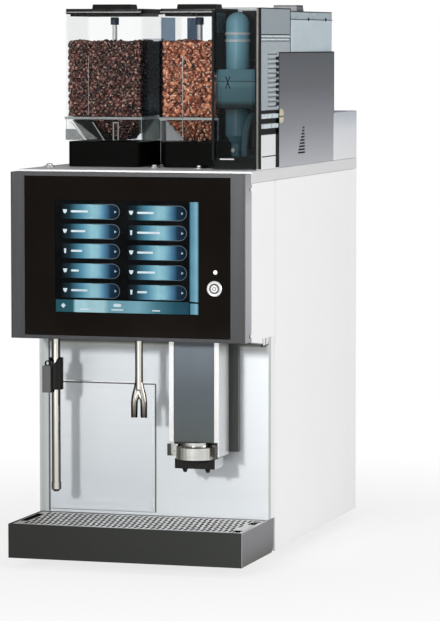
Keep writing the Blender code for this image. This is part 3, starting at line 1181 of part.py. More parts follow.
def make_canister(milky, black, steel):
    """Powder canister behind the brew unit, with its lid and dosing auger."""
    left = LEFT + UNIT_LEFT
    right = RIGHT - CANISTER_INSET
    front = FRONT + CANISTER_SETBACK
    back = front + CANISTER_DEPTH
    low, top = DECK + GAP, DECK + CANISTER_TOP
    wall = CANISTER_WALL
    floor = DECK + CANISTER_BOTTOM
    middle = (left + right) / 2
    body = prism(rounded((left, right), (front, back), CANISTER_CORNER), low, top)
    inner = prism(rounded((left + wall, right - wall), (front + wall, back - wall), CANISTER_CORNER - wall),
                  floor, top + OVERRUN)
    under = block((left + wall, right - wall), (front + wall, back - wall), (low - OVERRUN, floor - wall))
    shaft_z = floor + AUGER_RADIUS + GAP
    nose = disc(CANISTER_OUTLET_RADIUS, -OVERRUN, wall + OVERRUN, (middle, front, shaft_z + AUGER_RADIUS / 2), "y")
    rear_bore = disc(AUGER_SHAFT_RADIUS + GAP, -wall - OVERRUN, OVERRUN, (middle, back, shaft_z), "y",
                     TUBE_SIDES)
    finish("powder_canister", cut(body, inner, under, nose, rear_bore), milky)

    start = front + wall + GAP
    length = back - wall - start
    shaft = disc(AUGER_SHAFT_RADIUS, 0, length + wall, (middle, start, shaft_z), "y", TUBE_SIDES)
    turns = AUGER_TURNS
    points = []
    count = turns * AUGER_STEPS
    run = length - 2 * AUGER_RISE - AUGER_BLADE
    inner_radius = AUGER_SHAFT_RADIUS - WELD
    for i in range(count + 1):
        angle = 2 * math.pi * i / AUGER_STEPS
        y = start + AUGER_RISE + run * i / count
        for radius, shift in ((inner_radius, 0), (AUGER_RADIUS, 0),
                              (AUGER_RADIUS, AUGER_BLADE), (inner_radius, AUGER_BLADE)):
            points.append((middle + radius * math.cos(angle), y + shift, shaft_z + radius * math.sin(angle)))
    faces = [(0, 1, 2, 3), (4 * count, 4 * count + 1, 4 * count + 2, 4 * count + 3)]
    for i in range(count):
        for k in range(4):
            a, b = 4 * i + k, 4 * i + (k + 1) % 4
            faces.append((a, b, b + 4, a + 4))
    blade = mesh_object("blade", points, faces)
    finish("powder_auger", unite(shaft, blade), steel, (middle, start, shaft_z), smooth=True)

    lid_low = top + GAP
    lid_top = lid_low + CANISTER_LID_HEIGHT
    lid = prism(rounded((left, right), (front, back), CANISTER_CORNER), lid_low, lid_top)
    gap = wall + GAP
    tongue = prism(rounded((left + 2 * gap, right - 2 * gap), (front + 2 * gap, back - 2 * gap),
                           CANISTER_CORNER - wall), top - wall, lid_low + WELD)
    y = (front + back) / 2
    half = CANISTER_KNOB_LENGTH / 2
    knob_top = DECK + HOPPER_TOP + GAP + HOPPER_LID_THICKNESS + KNOB_HEIGHT
    grip = loft(rounded((middle - half, middle + half), (y - half, y + half), KNOB_TAPER),
                rounded((middle - half + KNOB_TAPER, middle + half - KNOB_TAPER),
                        (y - half + KNOB_TAPER, y + half - KNOB_TAPER), KNOB_TAPER),
                lid_top - WELD, knob_top)
    finish("canister_lid", unite(lid, tongue, grip), black, (middle, y, lid_low))


def make_side_cover(grey, cream):
    """Grey sheet over the canister's side, with slanted slots, and the latch that holds it."""
    front = FRONT + COVER_SETBACK
    back = front + COVER_DEPTH
    outer = RIGHT
    inner = outer - COVER_SHEET
    low, high = DECK + GAP, DECK + COVER_HEIGHT
    sheet = block((inner, outer), (front, back), (low, high))
    slots = []
    for i in range(COVER_SLOTS):
        y = FRONT + COVER_SLOT_SETBACK + i * COVER_SLOT_SLANT
        z = low + COVER_SLOT_BOTTOM + i * COVER_SLOT_PITCH
        slots.append(block((inner - OVERRUN, outer + OVERRUN), (y, y + COVER_SLOT_LENGTH - i * COVER_SLOT_NARROWING),
                           (z, z + COVER_SLOT_HEIGHT)))
    y, z = FRONT + LATCH_SETBACK, DECK + LATCH_LEVEL
    seat = disc(LATCH_RADIUS + GAP, -OVERRUN - COVER_SHEET, OVERRUN, (outer, y, z), "x")
    finish("side_cover", cut(sheet, *slots, seat), grey)

    latch = turned([(0, -COVER_SHEET), (LATCH_RADIUS, -COVER_SHEET), (LATCH_RADIUS, -GAP),
                    (LATCH_RADIUS - GAP, 0), (0, 0)], (outer, y, z), "x")
    finish("cover_latch", latch, cream, (outer, y, z))


def make_rear_cover(metal):
    """Low folded cover across the back of the deck."""
    front = FRONT + REAR_COVER_SETBACK
    low, high = DECK + GAP, DECK + REAR_COVER_HEIGHT
    corner = REAR_COVER_CORNER
    outline = [(front, low), (REAR, low), (REAR, high), (front + corner, high), (front, high - corner)]
    cover = prism(outline, LEFT, RIGHT, "x")
    hollow = block((LEFT + SHEET, RIGHT - SHEET), (front + SHEET, REAR - SHEET),
                   (low - OVERRUN, high - corner - SHEET))
    finish("rear_cover", cut(cover, hollow), metal)


def make_boiler(steel):
    """Steam boiler standing on the pan, with a crowned top and a pipe stub."""
    x, y = LEFT + BOILER_X, FRONT + BOILER_SETBACK
    low = PAN_TOP + GAP
    top = low + BOILER_HEIGHT
    radius = BOILER_RADIUS
    stub = BOILER_CROWN / 2
    profile = [(0, low), (radius, low), (radius, top), (radius * 4 / 5, top + BOILER_CROWN * 2 / 3),
               (stub, top + BOILER_CROWN), (stub, top + BOILER_CROWN * 3), (0, top + BOILER_CROWN * 3)]
    finish("steam_boiler", turned(profile, (x, y, 0)), steel, smooth=True)


def make_pump(metal):
    """Rotary pump lying on its block."""
    x, y = LEFT + PUMP_X, FRONT + PUMP_SETBACK
    low = PAN_TOP + GAP
    z = low + PUMP_BLOCK / 4 + PUMP_RADIUS
    profile = [(0, 0), (PUMP_HEAD_RADIUS, 0), (PUMP_HEAD_RADIUS, PUMP_HEAD_LENGTH),
               (PUMP_RADIUS, PUMP_HEAD_LENGTH), (PUMP_RADIUS, PUMP_HEAD_LENGTH + PUMP_LENGTH),
               (0, PUMP_HEAD_LENGTH + PUMP_LENGTH)]
    motor = turned(profile, (x, y, z), "y")
    seat = y + PUMP_HEAD_LENGTH + PUMP_LENGTH / 2
    foot = block((x - PUMP_BLOCK / 2, x + PUMP_BLOCK / 2), (seat - PUMP_BLOCK / 2, seat + PUMP_BLOCK / 2),
                 (low, z - PUMP_RADIUS / 2))
    finish("water_pump", unite(motor, foot), metal, smooth=True)


def make_control_box(metal):
    """Electronics box on the inside of the rear panel."""
    back = REAR_Y - SHEET - GAP
    x = -CONTROL_WIDTH / 2
    low = BASE + CONTROL_BOTTOM
    box = block((x, x + CONTROL_WIDTH), (back - CONTROL_DEPTH, back), (low, low + CONTROL_HEIGHT))
    finish("control_box", box, metal)


def main():
    for thing in list(bpy.data.objects):
        bpy.data.objects.remove(thing, do_unlink=True)
    stainless = make_material("stainless", (0.72, 0.73, 0.74), 0.32, 1.0)
    light_panel = make_material("light_panel", (0.80, 0.81, 0.82), 0.40, 0.6)
    anthracite = make_material("anthracite", (0.045, 0.045, 0.048), 0.42, 0.2)
    tray_plastic = make_material("tray_plastic", (0.040, 0.042, 0.040), 0.50, 0.0)
    black = make_material("black_plastic", (0.012, 0.012, 0.013), 0.30, 0.0)
    black_glass = make_material("black_glass", (0.010, 0.010, 0.011), 0.08, 0.0)
    screen = make_material("screen", (0.02, 0.05, 0.08), 0.15, 0.0)
    chrome = make_material("chrome", (0.75, 0.76, 0.78), 0.12, 1.0)
    lens = make_material("lamp_lens", (0.60, 0.75, 0.90), 0.20, 0.0)
    rubber = make_material("rubber", (0.020, 0.020, 0.020), 0.80, 0.0)
    outlet_grey = make_material("outlet_grey", (0.16, 0.18, 0.20), 0.25, 0.4)
    clear = make_material("clear_plastic", (0.92, 0.94, 0.95), 0.06, 0.0, 0.25)
    smoke = make_material("smoked_plastic", (0.05, 0.06, 0.06), 0.08, 0.0, 0.45)
    beans = make_material("coffee_beans", (0.10, 0.045, 0.028), 0.45, 0.0)
    pale_beans = make_material("light_roast_beans", (0.23, 0.10, 0.055), 0.40, 0.0)
    teal = make_material("brew_teal", (0.16, 0.27, 0.31), 0.35, 0.0)
    cover_grey = make_material("cover_grey", (0.20, 0.21, 0.23), 0.45, 0.3)
    plate_grey = make_material("plate_grey", (0.50, 0.54, 0.57), 0.45, 0.2)
    milky = make_material("canister_plastic", (0.62, 0.70, 0.74), 0.35, 0.0)
    cream = make_material("latch_cream", (0.75, 0.70, 0.55), 0.45, 0.0)
    cast = make_material("cast_metal", (0.45, 0.46, 0.47), 0.50, 0.8)
    zinc = make_material("zinc_sheet", (0.60, 0.61, 0.62), 0.45, 0.8)

    make_feet(rubber)
    make_base_pan(zinc)
    make_side_panel("left_side_panel", -1, light_panel)
    make_side_panel("right_side_panel", 1, light_panel)
    make_rear_panel(zinc)
    make_connections(black)
    make_top_deck(stainless)
    make_front_wall(stainless)
    make_service_door(stainless)
    make_grounds_container(black)
    make_head_housing(light_panel)
    make_control_panel(anthracite, black_glass, screen, chrome, lens, rubber)
    make_steam_wand(chrome, black)
    make_spout(chrome)
    make_outlet(stainless, outlet_grey, black)
    make_outlet_rail(anthracite)
    make_drip_tray(tray_plastic)
    make_grille(stainless)
    make_hopper("left", LEFT_HOPPER_X, LEFT_HOPPER_WIDTH, clear, black, chrome, beans)
    make_hopper("right", RIGHT_HOPPER_X, RIGHT_HOPPER_WIDTH, clear, black, chrome, pale_beans)
    for side, x in zip(("left", "right"), hopper_centres()):
        make_grinder(side, x, cast, stainless)
    make_brew_unit(black, teal, stainless, smoke, plate_grey, rubber)
    make_canister(milky, black, stainless)
    make_side_cover(cover_grey, cream)
    make_rear_cover(light_panel)
    make_boiler(stainless)
    make_pump(cast)
    make_control_box(zinc)


main()
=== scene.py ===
import json
import math
import random

import bmesh
import bpy
from mathutils import Matrix, Vector


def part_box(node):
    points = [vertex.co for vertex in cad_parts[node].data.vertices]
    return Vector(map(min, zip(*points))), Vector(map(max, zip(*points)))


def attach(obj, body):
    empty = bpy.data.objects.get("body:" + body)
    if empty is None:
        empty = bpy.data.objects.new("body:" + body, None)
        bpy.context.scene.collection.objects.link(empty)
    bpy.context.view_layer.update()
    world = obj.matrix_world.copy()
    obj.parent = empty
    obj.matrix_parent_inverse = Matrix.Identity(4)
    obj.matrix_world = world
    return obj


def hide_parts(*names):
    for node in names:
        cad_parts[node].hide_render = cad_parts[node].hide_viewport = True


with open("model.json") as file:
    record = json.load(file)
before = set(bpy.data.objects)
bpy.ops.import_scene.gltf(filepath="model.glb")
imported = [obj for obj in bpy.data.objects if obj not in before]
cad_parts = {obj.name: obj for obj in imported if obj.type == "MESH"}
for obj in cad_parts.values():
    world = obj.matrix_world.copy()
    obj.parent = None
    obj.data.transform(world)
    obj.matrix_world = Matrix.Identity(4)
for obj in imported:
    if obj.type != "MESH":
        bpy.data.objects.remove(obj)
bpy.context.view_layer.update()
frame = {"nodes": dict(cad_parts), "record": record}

MM = 0.001
SHARP = math.radians(32)
SCENE = bpy.context.scene
RECORD = frame["record"]
BODY = {name: body for body, names in RECORD["behaviour"]["bodies"].items() for name in names}
SLOT = {part["node"]: part["material_slot"] for part in RECORD["subparts"]}
DARK_SLOT, CLEAR_SLOT = SLOT["brew_base"], SLOT["left_hopper"]
random.seed(7)
SCENE.view_settings.view_transform = "Standard"


def add_object(name, data):
    """Put an object in the scene."""
    thing = bpy.data.objects.new(name, data)
    SCENE.collection.objects.link(thing)
    return thing


# Materials

def triple(value):
    """One number stands for three equal ones."""
    value = tuple(value) if isinstance(value, (tuple, list)) else (value,)
    return value * 3 if len(value) == 1 else value


def scaled(colour, share):
    """A colour times a number."""
    return tuple(c * share for c in colour)


def plug(tree, socket, value):
    """Link a socket to an input, or set the input's value."""
    if isinstance(value, bpy.types.NodeSocket):
        tree.links.new(value, socket)
    else:
        socket.default_value = value


def feed(tree, target, **values):
    """Plug values in a node's inputs by their names."""
    for key, value in values.items():
        plug(tree, target.inputs[key.replace("_", " ")], value)


def node(tree, kind, **values):
    """Add a shader node with its properties and inputs."""
    made = tree.nodes.new(kind)
    for key, value in values.items():
        if hasattr(made, key):
            setattr(made, key, value)
        else:
            feed(tree, made, **{key: value})
    return made


def noise(tree, scale, detail=3.0):
    """Noise in the object's own coordinates."""
    place = node(tree, "ShaderNodeTexCoord").outputs["Object"]
    place = node(tree, "ShaderNodeMapping", Vector=place, Scale=triple(scale)).outputs["Vector"]
    cloud = node(tree, "ShaderNodeTexNoise", Vector=place, Scale=1.0, Detail=detail, Roughness=0.55)
    return cloud.outputs["Fac"]


def spread(tree, source, low, high, start=0.3, end=0.7):
    """Map a value between start and end to a range."""
    return node(tree, "ShaderNodeMapRange", Value=source, From_Min=start, From_Max=end, To_Min=low,
                To_Max=high).outputs["Result"]


def along(tree, low, high, axis):
    """From 0 to 1 between two places on an axis, in millimetres."""
    parts = node(tree, "ShaderNodeSeparateXYZ", Vector=node(tree, "ShaderNodeTexCoord").outputs["Object"])
    return spread(tree, parts.outputs[axis], 0.0, 1.0, low * MM, high * MM)


def ramp(tree, source, stops):
    """Colours along a value. A stop is a place in percent and a colour or grey in thousandths."""
    made = node(tree, "ShaderNodeValToRGB", Fac=source)
    band = made.color_ramp
    while len(band.elements) < len(stops):
        band.elements.new(0.5)
    for element, (place, *colour) in zip(band.elements, stops):
        element.position = place / 100
        element.color = (*scaled(triple(colour), 0.001), 1.0)
    return made.outputs["Color"]


def blend(tree, factor, first, second, kind="MIX"):
    """Mix two colours, each a socket or a plain colour."""
    mix = node(tree, "ShaderNodeMix", data_type="RGBA", blend_type=kind)
    for key, value in (("Factor", factor), ("A", first), ("B", second)):
        socket = [s for s in mix.inputs if s.name == key and s.enabled][0]
        plug(tree, socket, (*value, 1.0) if isinstance(value, tuple) else value)
    return [s for s in mix.outputs if s.enabled][0]


def mottled(tree, cloud, first, second):
    """From one colour to another with a noise."""
    return blend(tree, spread(tree, cloud, 0.0, 1.0), first, second)


def maths(tree, operation, *values):
    """One operation on sockets or numbers."""
    made = node(tree, "ShaderNodeMath", operation=operation)
    for socket, value in zip(made.inputs, values):
        plug(tree, socket, value)
    return made.outputs[0]


def new_material(name, **inputs):
    """A material, its tree and its Principled shader."""
    material = bpy.data.materials.new(name)
    material.use_nodes = True
    tree = material.node_tree
    shader = tree.nodes["Principled BSDF"]
    feed(tree, shader, **inputs)
    return material, tree, shader


def mix_shaders(tree, factor, first, second, output):
    """Mix two shaders into the output."""
    mix = node(tree, "ShaderNodeMixShader")
    for socket, source in zip(mix.inputs, (factor, first, second)):
        plug(tree, socket, source)
    tree.links.new(mix.outputs["Shader"], tree.nodes[output].inputs["Surface"])


def roughen(tree, shader, grain, depth):
    """Give a shader a fine relief, in millimetres."""
    relief = node(tree, "ShaderNodeBump", Strength=1.0, Distance=depth * MM, Height=noise(tree, grain))
    feed(tree, shader, Normal=relief.outputs["Normal"])


def surface(name, colour, rough, metal=0.0, spec=0.5, coat=0.0, tone=0.05, vary=0.06,
            bump=0.0, broad=7.0, grain=200, bump_grain=None, rim=None, stops=None, extent=None, axis="Z"):
    """A material with grain in its colour, roughness and relief; rim multiplies its colour by slant to the
    view, a painted reflection.
    """
    material, tree, shader = new_material(
        name, Metallic=metal, Specular_IOR_Level=spec, Coat_Weight=coat, Coat_Roughness=0.05)
    fine, wide = noise(tree, grain), noise(tree, broad, 2.0)
    colour = triple(colour)
    pale = tuple(min(c, 1.0) for c in scaled(colour, 1 + tone))
    shade = mottled(tree, fine, scaled(colour, 1 - tone), pale)
    if stops:
        shade = blend(tree, 1.0, ramp(tree, along(tree, *extent, axis), stops), shade, "MULTIPLY")
    level = spread(tree, wide, 1 - tone / 2, 1.0)
    grey = node(tree, "ShaderNodeCombineColor", Red=level, Green=level, Blue=level)
    shade = blend(tree, 1.0, shade, grey.outputs["Color"], "MULTIPLY")
    # Painted reflection: the colour is bright where the surface faces the view and dark towards its outline.
    if rim:
        slant = node(tree, "ShaderNodeLayerWeight", Blend=0.5)
        shade = blend(tree, 1.0, shade, ramp(tree, slant.outputs["Facing"], rim), "MULTIPLY")
    level = spread(tree, fine, max(rough - vary, 0.01), rough + vary)
    feed(tree, shader, Base_Color=shade, Roughness=level)
    if bump:
        roughen(tree, shader, bump_grain or grain, bump)
    return material


def graded(name, extent, stops, *values, **more):
    """A surface whose colour is all in its stops."""
    return surface(name, 1.0, *values, extent=extent, stops=stops, **more)


def see_through(name, tint, gloss, weight=0.01, edge=0.45, rough=0.08, streaks=0.02):
    """Thin clear plastic that tints what is behind it and reflects more at a slant."""
    material, tree, shader = new_material(name, Metallic=0.9)
    cloud = noise(tree, (9, 9, 4))
    feed(tree, shader, Roughness=spread(tree, cloud, rough, rough + 0.05),
         Base_Color=mottled(tree, cloud, scaled(gloss, 0.9), gloss))
    behind = mottled(tree, cloud, scaled(tint, 1 - streaks), tint)
    clear = node(tree, "ShaderNodeBsdfTransparent", Color=behind)
    steep = maths(tree, "POWER", node(tree, "ShaderNodeLayerWeight", Blend=0.25).outputs["Facing"], 2.0)
    mix_shaders(tree, spread(tree, steep, weight, edge, 0.03, 1.0), clear.outputs["BSDF"],
                shader.outputs["BSDF"], "Material Output")
    return material


def glowing(name, stops, extent, axis, strength):
    """A lit display surface whose colour runs along one axis."""
    material = surface(name, 0.9, 0.2, spec=0.05, stops=stops, extent=extent, axis=axis, tone=0.08, grain=60)
    tree = material.node_tree
    shader = tree.nodes["Principled BSDF"]
    colour = shader.inputs["Base Color"].links[0].from_socket
    feed(tree, shader, Emission_Color=colour, Emission_Strength=strength)
    return material


# Painted reflection for round chrome: white where it faces the view, dark along its outline.
TUBE_PAINTED_REFLECTION = ((0, 1000, 1000, 980), (5.5, 970, 960, 930), (11, 500, 470, 410), (19, 160, 140, 110),
    (60, 80, 70, 60), (100, 320, 300, 270))
# Stops along X paint shade on the wall: darker at its left end, full colour at its right end.
STEEL_WALL = surface("brushed wall steel", (0.72, 0.75, 0.77), 0.36, 0.4, tone=0.014, vary=0.05, broad=4,
    grain=(5, 5, 900), stops=((0, 800, 810, 810), (50, 900, 915, 920), (100, 1000)), extent=(-175, 175),
    axis="X")
STEEL_DOOR = surface("brushed door steel", (0.68, 0.71, 0.73), 0.36, 0.4, tone=0.016, vary=0.05, broad=5,
    grain=(4, 4, 820), stops=((0, 860, 880, 900), (100, 1000)), extent=(70, 250))
SIDE_STEEL = surface("satin side panel", (0.885, 0.885, 0.89), 0.5, spec=0.15, tone=0.012, vary=0.05,
    bump=0.006, broad=3, grain=(700, 700, 5))
DECK_STEEL = surface("satin deck sheet", (0.84, 0.84, 0.85), 0.34, 0.2, tone=0.03, vary=0.05, bump=0.01,
    grain=(900, 6, 900))
GRILLE_STEEL = surface("punched grille steel", (0.6, 0.595, 0.58), 0.46, 0.25, bump=0.02, grain=(500, 8, 500),
    tone=0.06)
BRIGHT_STEEL = surface("bright rail steel", 0.86, 0.22, 0.8, tone=0.03, bump=0.01, grain=(900, 900, 8))
# The ring's rim stops are a painted reflection: bright where it faces the view, dark at its outline.
POLISHED = surface("polished ring", (0.84, 0.84, 0.81), 0.16, 1, vary=0.04, grain=(40, 40, 500),
    rim=((0, 1000), (10, 920, 920, 900), (26, 550, 540, 500), (45, 260, 250, 220), (100, 120, 120, 110)))
CHROME = surface("polished tube", (0.92, 0.91, 0.88), 0.1, 1, tone=0.03, vary=0.03, grain=(300, 300, 20),
    rim=TUBE_PAINTED_REFLECTION)
ROD_STEEL = surface("rod steel", (0.82, 0.83, 0.83), 0.36, 0.25, spec=0.4, tone=0.03, vary=0.05)
CHROME_TRIM = surface("polished trim", (0.8, 0.81, 0.83), 0.12, 1, tone=0.03, vary=0.03)
ZINC = surface("zinc sheet", (0.48, 0.49, 0.5), 0.42, 0.8, tone=0.12, bump=0.01, broad=18, grain=160)
CAST = surface("cast housing", (0.3, 0.31, 0.32), 0.55, 0.7, tone=0.15, bump=0.12, grain=350)
BOILER = surface("boiler jacket", (0.55, 0.56, 0.57), 0.34, 0.9, tone=0.08, bump=0.02, grain=(20, 20, 500))
FRAME_GREY = surface("anthracite profile", (0.04, 0.041, 0.044), 0.34, 0.35, tone=0.09, bump=0.012,
    grain=(600, 600, 10))
# The profile's side faces: the anthracite painted much lighter, as lit, with painted shading along Z.
FRAME_SIDE_PAINTED_LIGHT = graded("profile side painted light", (331, 570), ((0, 460, 440, 480), (35, 550, 540, 580), (80, 620, 620, 650),
    (100, 400, 400, 430)), 0.36, 0.3, bump=0.01, grain=(600, 600, 10))
# A painted highlight along the top front edge of the glossy hopper lids.
LID_EDGE_PAINTED_HIGHLIGHT = surface("lid edge painted highlight", (0.16, 0.155, 0.15), 0.36, 0.4, tone=0.08, bump=0.01,
    grain=(10, 600, 600))
BLACK_GLASS = surface("black glass", (0.0075, 0.0055, 0.0042), 0.07, spec=0.08, tone=0.2, vary=0.02, grain=9)
# Stops along X paint shade and light on the tray: darker at the left end, lighter at the right end.
TRAY_GREY = surface("tray plastic", (0.027, 0.029, 0.026), 0.5, spec=0.18, tone=0.1, vary=0.07, bump=0.03,
    grain=900, bump_grain=1400, stops=((0, 740), (70, 1000), (100, 1250, 1250, 1220)), extent=(-175, 175),
    axis="X")
RAIL_GREY = surface("rail plastic", (0.1, 0.105, 0.1), 0.4, spec=0.25, tone=0.08, bump=0.02,
    grain=(500, 500, 20))
# Painted shade: the flange is the wall's steel painted darker, with a painted gradient across it standing in
# for its rounded edge.
FLANGE_PAINTED_SHADE = graded("folded flange painted shade", (-175, -160), ((0, 500, 525, 525), (30, 400, 425, 420),
    (85, 470, 495, 500), (100, 300, 310, 310)), 0.38, 0.4, tone=0.02, bump=0.01, grain=(700, 700, 8),
    axis="X")
# Painted reflection and shade on the chrome spout ends: dark towards the tips and along the outline, bright
# higher up.
SPOUT_END = graded("spout end", (217, 270), ((0, 90, 85, 75), (30, 260, 250, 230), (62, 800, 790, 760),
    (100, 950, 940, 910)), 0.1, 1, tone=0.04, vary=0.03, grain=(300, 300, 20), rim=TUBE_PAINTED_REFLECTION)
BUTTON_MARK = surface("button mark", (0.045, 0.047, 0.05), 0.4, tone=0.08, grain=300)
HEM_GREY = surface("dark hem", (0.13, 0.135, 0.115), 0.45, 0.1, tone=0.1, grain=300)
# Painted shadow under the head: a dark band on the top of the wall, darkest just below the head.
WALL_TOP_PAINTED_SHADOW = graded("wall top painted shadow", (310, 322), ((0, 620, 640, 640), (40, 580, 600, 580), (53, 410, 425, 400),
    (65, 210, 220, 200), (77, 120, 125, 110), (100, 150, 155, 140)), 0.4, 0.3, tone=0.03, grain=(5, 5, 900))
# Painted shade and light on the wall's side faces along Y: darker towards the front, lighter behind.
WALL_FLANK_PAINTED_SHADE = graded("wall flank painted shade", (-187.5, -163), ((0, 620, 640, 630), (10, 540, 565, 550),
    (52, 520, 545, 530), (60, 860, 870, 860), (100, 840, 845, 840)), 0.5, spec=0.15, tone=0.012, bump=0.006,
    broad=3, grain=(700, 700, 5), axis="Y")
SEAM_PALE = surface("pale seam", 0.4, 0.6, 0.1, tone=0.06)
# The tray's side faces: the tray plastic painted much lighter, as lit, with painted shade darker towards the
# bottom.
TRAY_SIDE_PAINTED_LIGHT = graded("tray side painted light", (15, 64.6), ((0, 95, 96, 85), (30, 148, 145, 150),
    (70, 195, 192, 208), (100, 200, 197, 212)), 0.46, tone=0.07, bump=0.03, grain=800)
BLACK_GLOSS = surface("black glossy plastic", (0.008, 0.0075, 0.007), 0.18, spec=0.16, tone=0.2, vary=0.05,
    grain=30)
BASE_BLACK = surface("hopper foot plastic", (0.0022, 0.0021, 0.0018), 0.4, spec=0.02, tone=0.2, vary=0.05,
    grain=30)
BLACK_SATIN = surface("black satin plastic", (0.011, 0.0105, 0.01), 0.38, spec=0.15, tone=0.2, bump=0.02,
    grain=700)
RUBBER = surface("black rubber", 0.016, 0.72, spec=0.3, tone=0.2, bump=0.05, grain=500)
GRIP_GREY = surface("grip grey plastic", (0.085, 0.085, 0.082), 0.42, tone=0.1, bump=0.03, grain=500)
# Stops along Z paint a reflection on the outlet cover: dark and greenish low down, a bright bluish band near
# the top.
OUTLET_GREY = graded("outlet cover", (184, 331), ((0, 70, 82, 80), (50, 75, 92, 105), (90, 125, 150, 175),
    (100, 85, 95, 105)), 0.36, 0.45, bump=0.01, grain=(500, 500, 12))
# Painted reflection on the side cover: light at the bottom, darkening towards the top.
COVER_PAINTED_REFLECTION = graded("side cover painted reflection", (573, 739), ((0, 540, 550, 585), (35, 290, 300, 335),
    (70, 145, 153, 172), (100, 105, 116, 130)), 0.4, 0.2, bump=0.012, grain=700)
# Stops along Z: pale at the bottom, darker and bluer towards the top.
REAR_COVER_GRADIENT = graded("rear cover gradient", (573, 647), ((0, 950, 960, 970), (60, 840, 860, 900),
    (100, 560, 600, 670)), 0.4, 0.25, tone=0.03, bump=0.01, grain=400)
PLATE_GREY = graded("ribbed side plate", (573, 804), ((0, 820, 830, 840), (21.2, 800, 810, 820),
    (21.4, 360, 410, 440), (78, 380, 430, 460), (80, 290, 335, 365), (100, 310, 355, 385)), 0.42, tone=0.07,
    bump=0.03, grain=420)
LID_MILKY = graded("milky lid", (788, 810), ((0, 340, 410, 460), (46, 400, 470, 520), (50, 35, 38, 40),
    (58, 30, 32, 35), (62, 50, 55, 60), (74, 160, 180, 200), (86, 160, 180, 200), (93, 20, 21, 23),
    (100, 20, 21, 23)), 0.3, bump=0.02, grain=60)
CANISTER = surface("milky canister", (0.49, 0.575, 0.62), 0.35, bump=0.02, grain=30)
# Stops along Z: a painted shadow darkens the teal to near black just under the yoke; above the yoke the teal
# is much lighter.
TEAL = graded("teal cylinder", (588, 804), ((0, 50, 125, 155), (27, 85, 195, 235), (32.5, 50, 100, 120),
    (33.5, 8, 14, 15), (37, 10, 20, 21), (41, 33, 88, 105), (50, 46, 122, 148), (53, 80, 165, 190),
    (55, 250, 520, 620), (80, 390, 760, 930), (100, 280, 580, 700)), 0.24, coat=0.35, tone=0.1, vary=0.05,
    grain=30)
# Stops along Z: painted shade along the yoke's rounded lower edge, near black there and lighter upwards.
YOKE_TEAL = graded("teal yoke", (661, 706), ((0, 8, 15, 16), (10, 20, 42, 45), (24, 88, 190, 232),
    (65, 118, 240, 292), (69, 155, 295, 345), (100, 140, 290, 355)), 0.4, spec=0.12, tone=0.08, vary=0.05,
    grain=30)
# Stops along X paint light and shade on the steel lugs: dark outer edges, a bright left lug, a darker right
# lug.
LUG_STEEL = graded("ring lugs", (44, 120.4), ((0, 30, 30, 28), (7, 50, 50, 45), (9, 400, 410, 380),
    (21, 620, 630, 600), (88, 340, 340, 320), (93, 120, 120, 110), (100, 60, 60, 55)), 0.3, 0.5, axis="X")
# A painted highlight for the tray's rim edges.
TRAY_RIM_PAINTED_HIGHLIGHT = surface("tray rim painted highlight", (0.46, 0.46, 0.47), 0.4, tone=0.08, bump=0.02, grain=300)
# Painted shade: near black for the inside of the tray's basin and the walls of the grille's slots.
BASIN_PAINTED_SHADE = surface("basin painted shade", 0.004, 0.6, spec=0.05, tone=0.2)
RING_BRIGHT = surface("bright ring", (0.92, 0.93, 0.93), 0.22, 0.35, tone=0.04)
NAVY_TINT = see_through("dark rear rib", (0.09, 0.13, 0.19), (0.3, 0.36, 0.44), 0.1, 0.5)
BLUE_TINT = see_through("tinted inner wall", (0.52, 0.6, 0.68), (0.5, 0.58, 0.66), 0.08, 0.5)
TEAL_PALE = surface("pale teal plate", (0.07, 0.135, 0.16), 0.3, coat=0.2, tone=0.08, grain=40)
# Pale bands and ribs, and painted highlights on the side plate's ribs.
PALE_BANDS_AND_HIGHLIGHTS = surface("pale bands and painted highlights", (0.6, 0.68, 0.71), 0.3, grain=90)
CREAM = graded("cream latch", (635.7, 659.7), ((0, 100, 90, 50), (10, 620, 580, 400), (40, 700, 670, 500),
    (44, 160, 140, 80), (50, 160, 140, 80), (55, 660, 620, 430), (90, 600, 560, 380), (100, 120, 110, 60)),
    0.42, tone=0.14, bump=0.04)
# Pale bands on the brew cylinder, painted pure white, partly as a highlight.
BAND_PAINTED_HIGHLIGHT = surface("band painted highlight", 1, 0.25, grain=90)
WHITE_PLASTIC = surface("white plastic", (0.8, 0.8, 0.78), 0.36, bump=0.02)
DARK_GAP = surface("dark gap", (0.012, 0.012, 0.013), 0.8, spec=0.2, tone=0.3)
# Dark seam lines, and painted shade in the grooves of the side plate.
SEAM_AND_GROOVE_SHADE = surface("seam lines and groove shade", (0.1, 0.105, 0.11), 0.6, 0.2, tone=0.2)
CLEAR = see_through("clear hopper wall", (0.995, 0.998, 0.998), (0.86, 0.9, 0.92), streaks=0.008, rough=0.03)
CLEAR_RIB = see_through("clear rib", (0.62, 0.66, 0.65), (0.92, 0.96, 0.96), 0.5, 0.9, rough=0.1)
SKIRT_TINT = see_through("tinted skirt", (0.34, 0.37, 0.35), (0.6, 0.64, 0.62), 0.12, 0.6)
FUNNEL_TINT = see_through("funnel side", (0.44, 0.445, 0.44), (0.6, 0.64, 0.62), 0.05, 0.6)
CORNER_TINT = see_through("funnel corner", (0.55, 0.56, 0.56), (0.6, 0.64, 0.62), 0.02, 0.6)
SIDE_TINT = see_through("shaded side wall", (0.78, 0.81, 0.83), (0.22, 0.3, 0.32), 0.02, 0.3)
CAP_NAVY = surface("rod cap", (0.034, 0.05, 0.075), 0.35, spec=0.12, tone=0.1, grain=300)
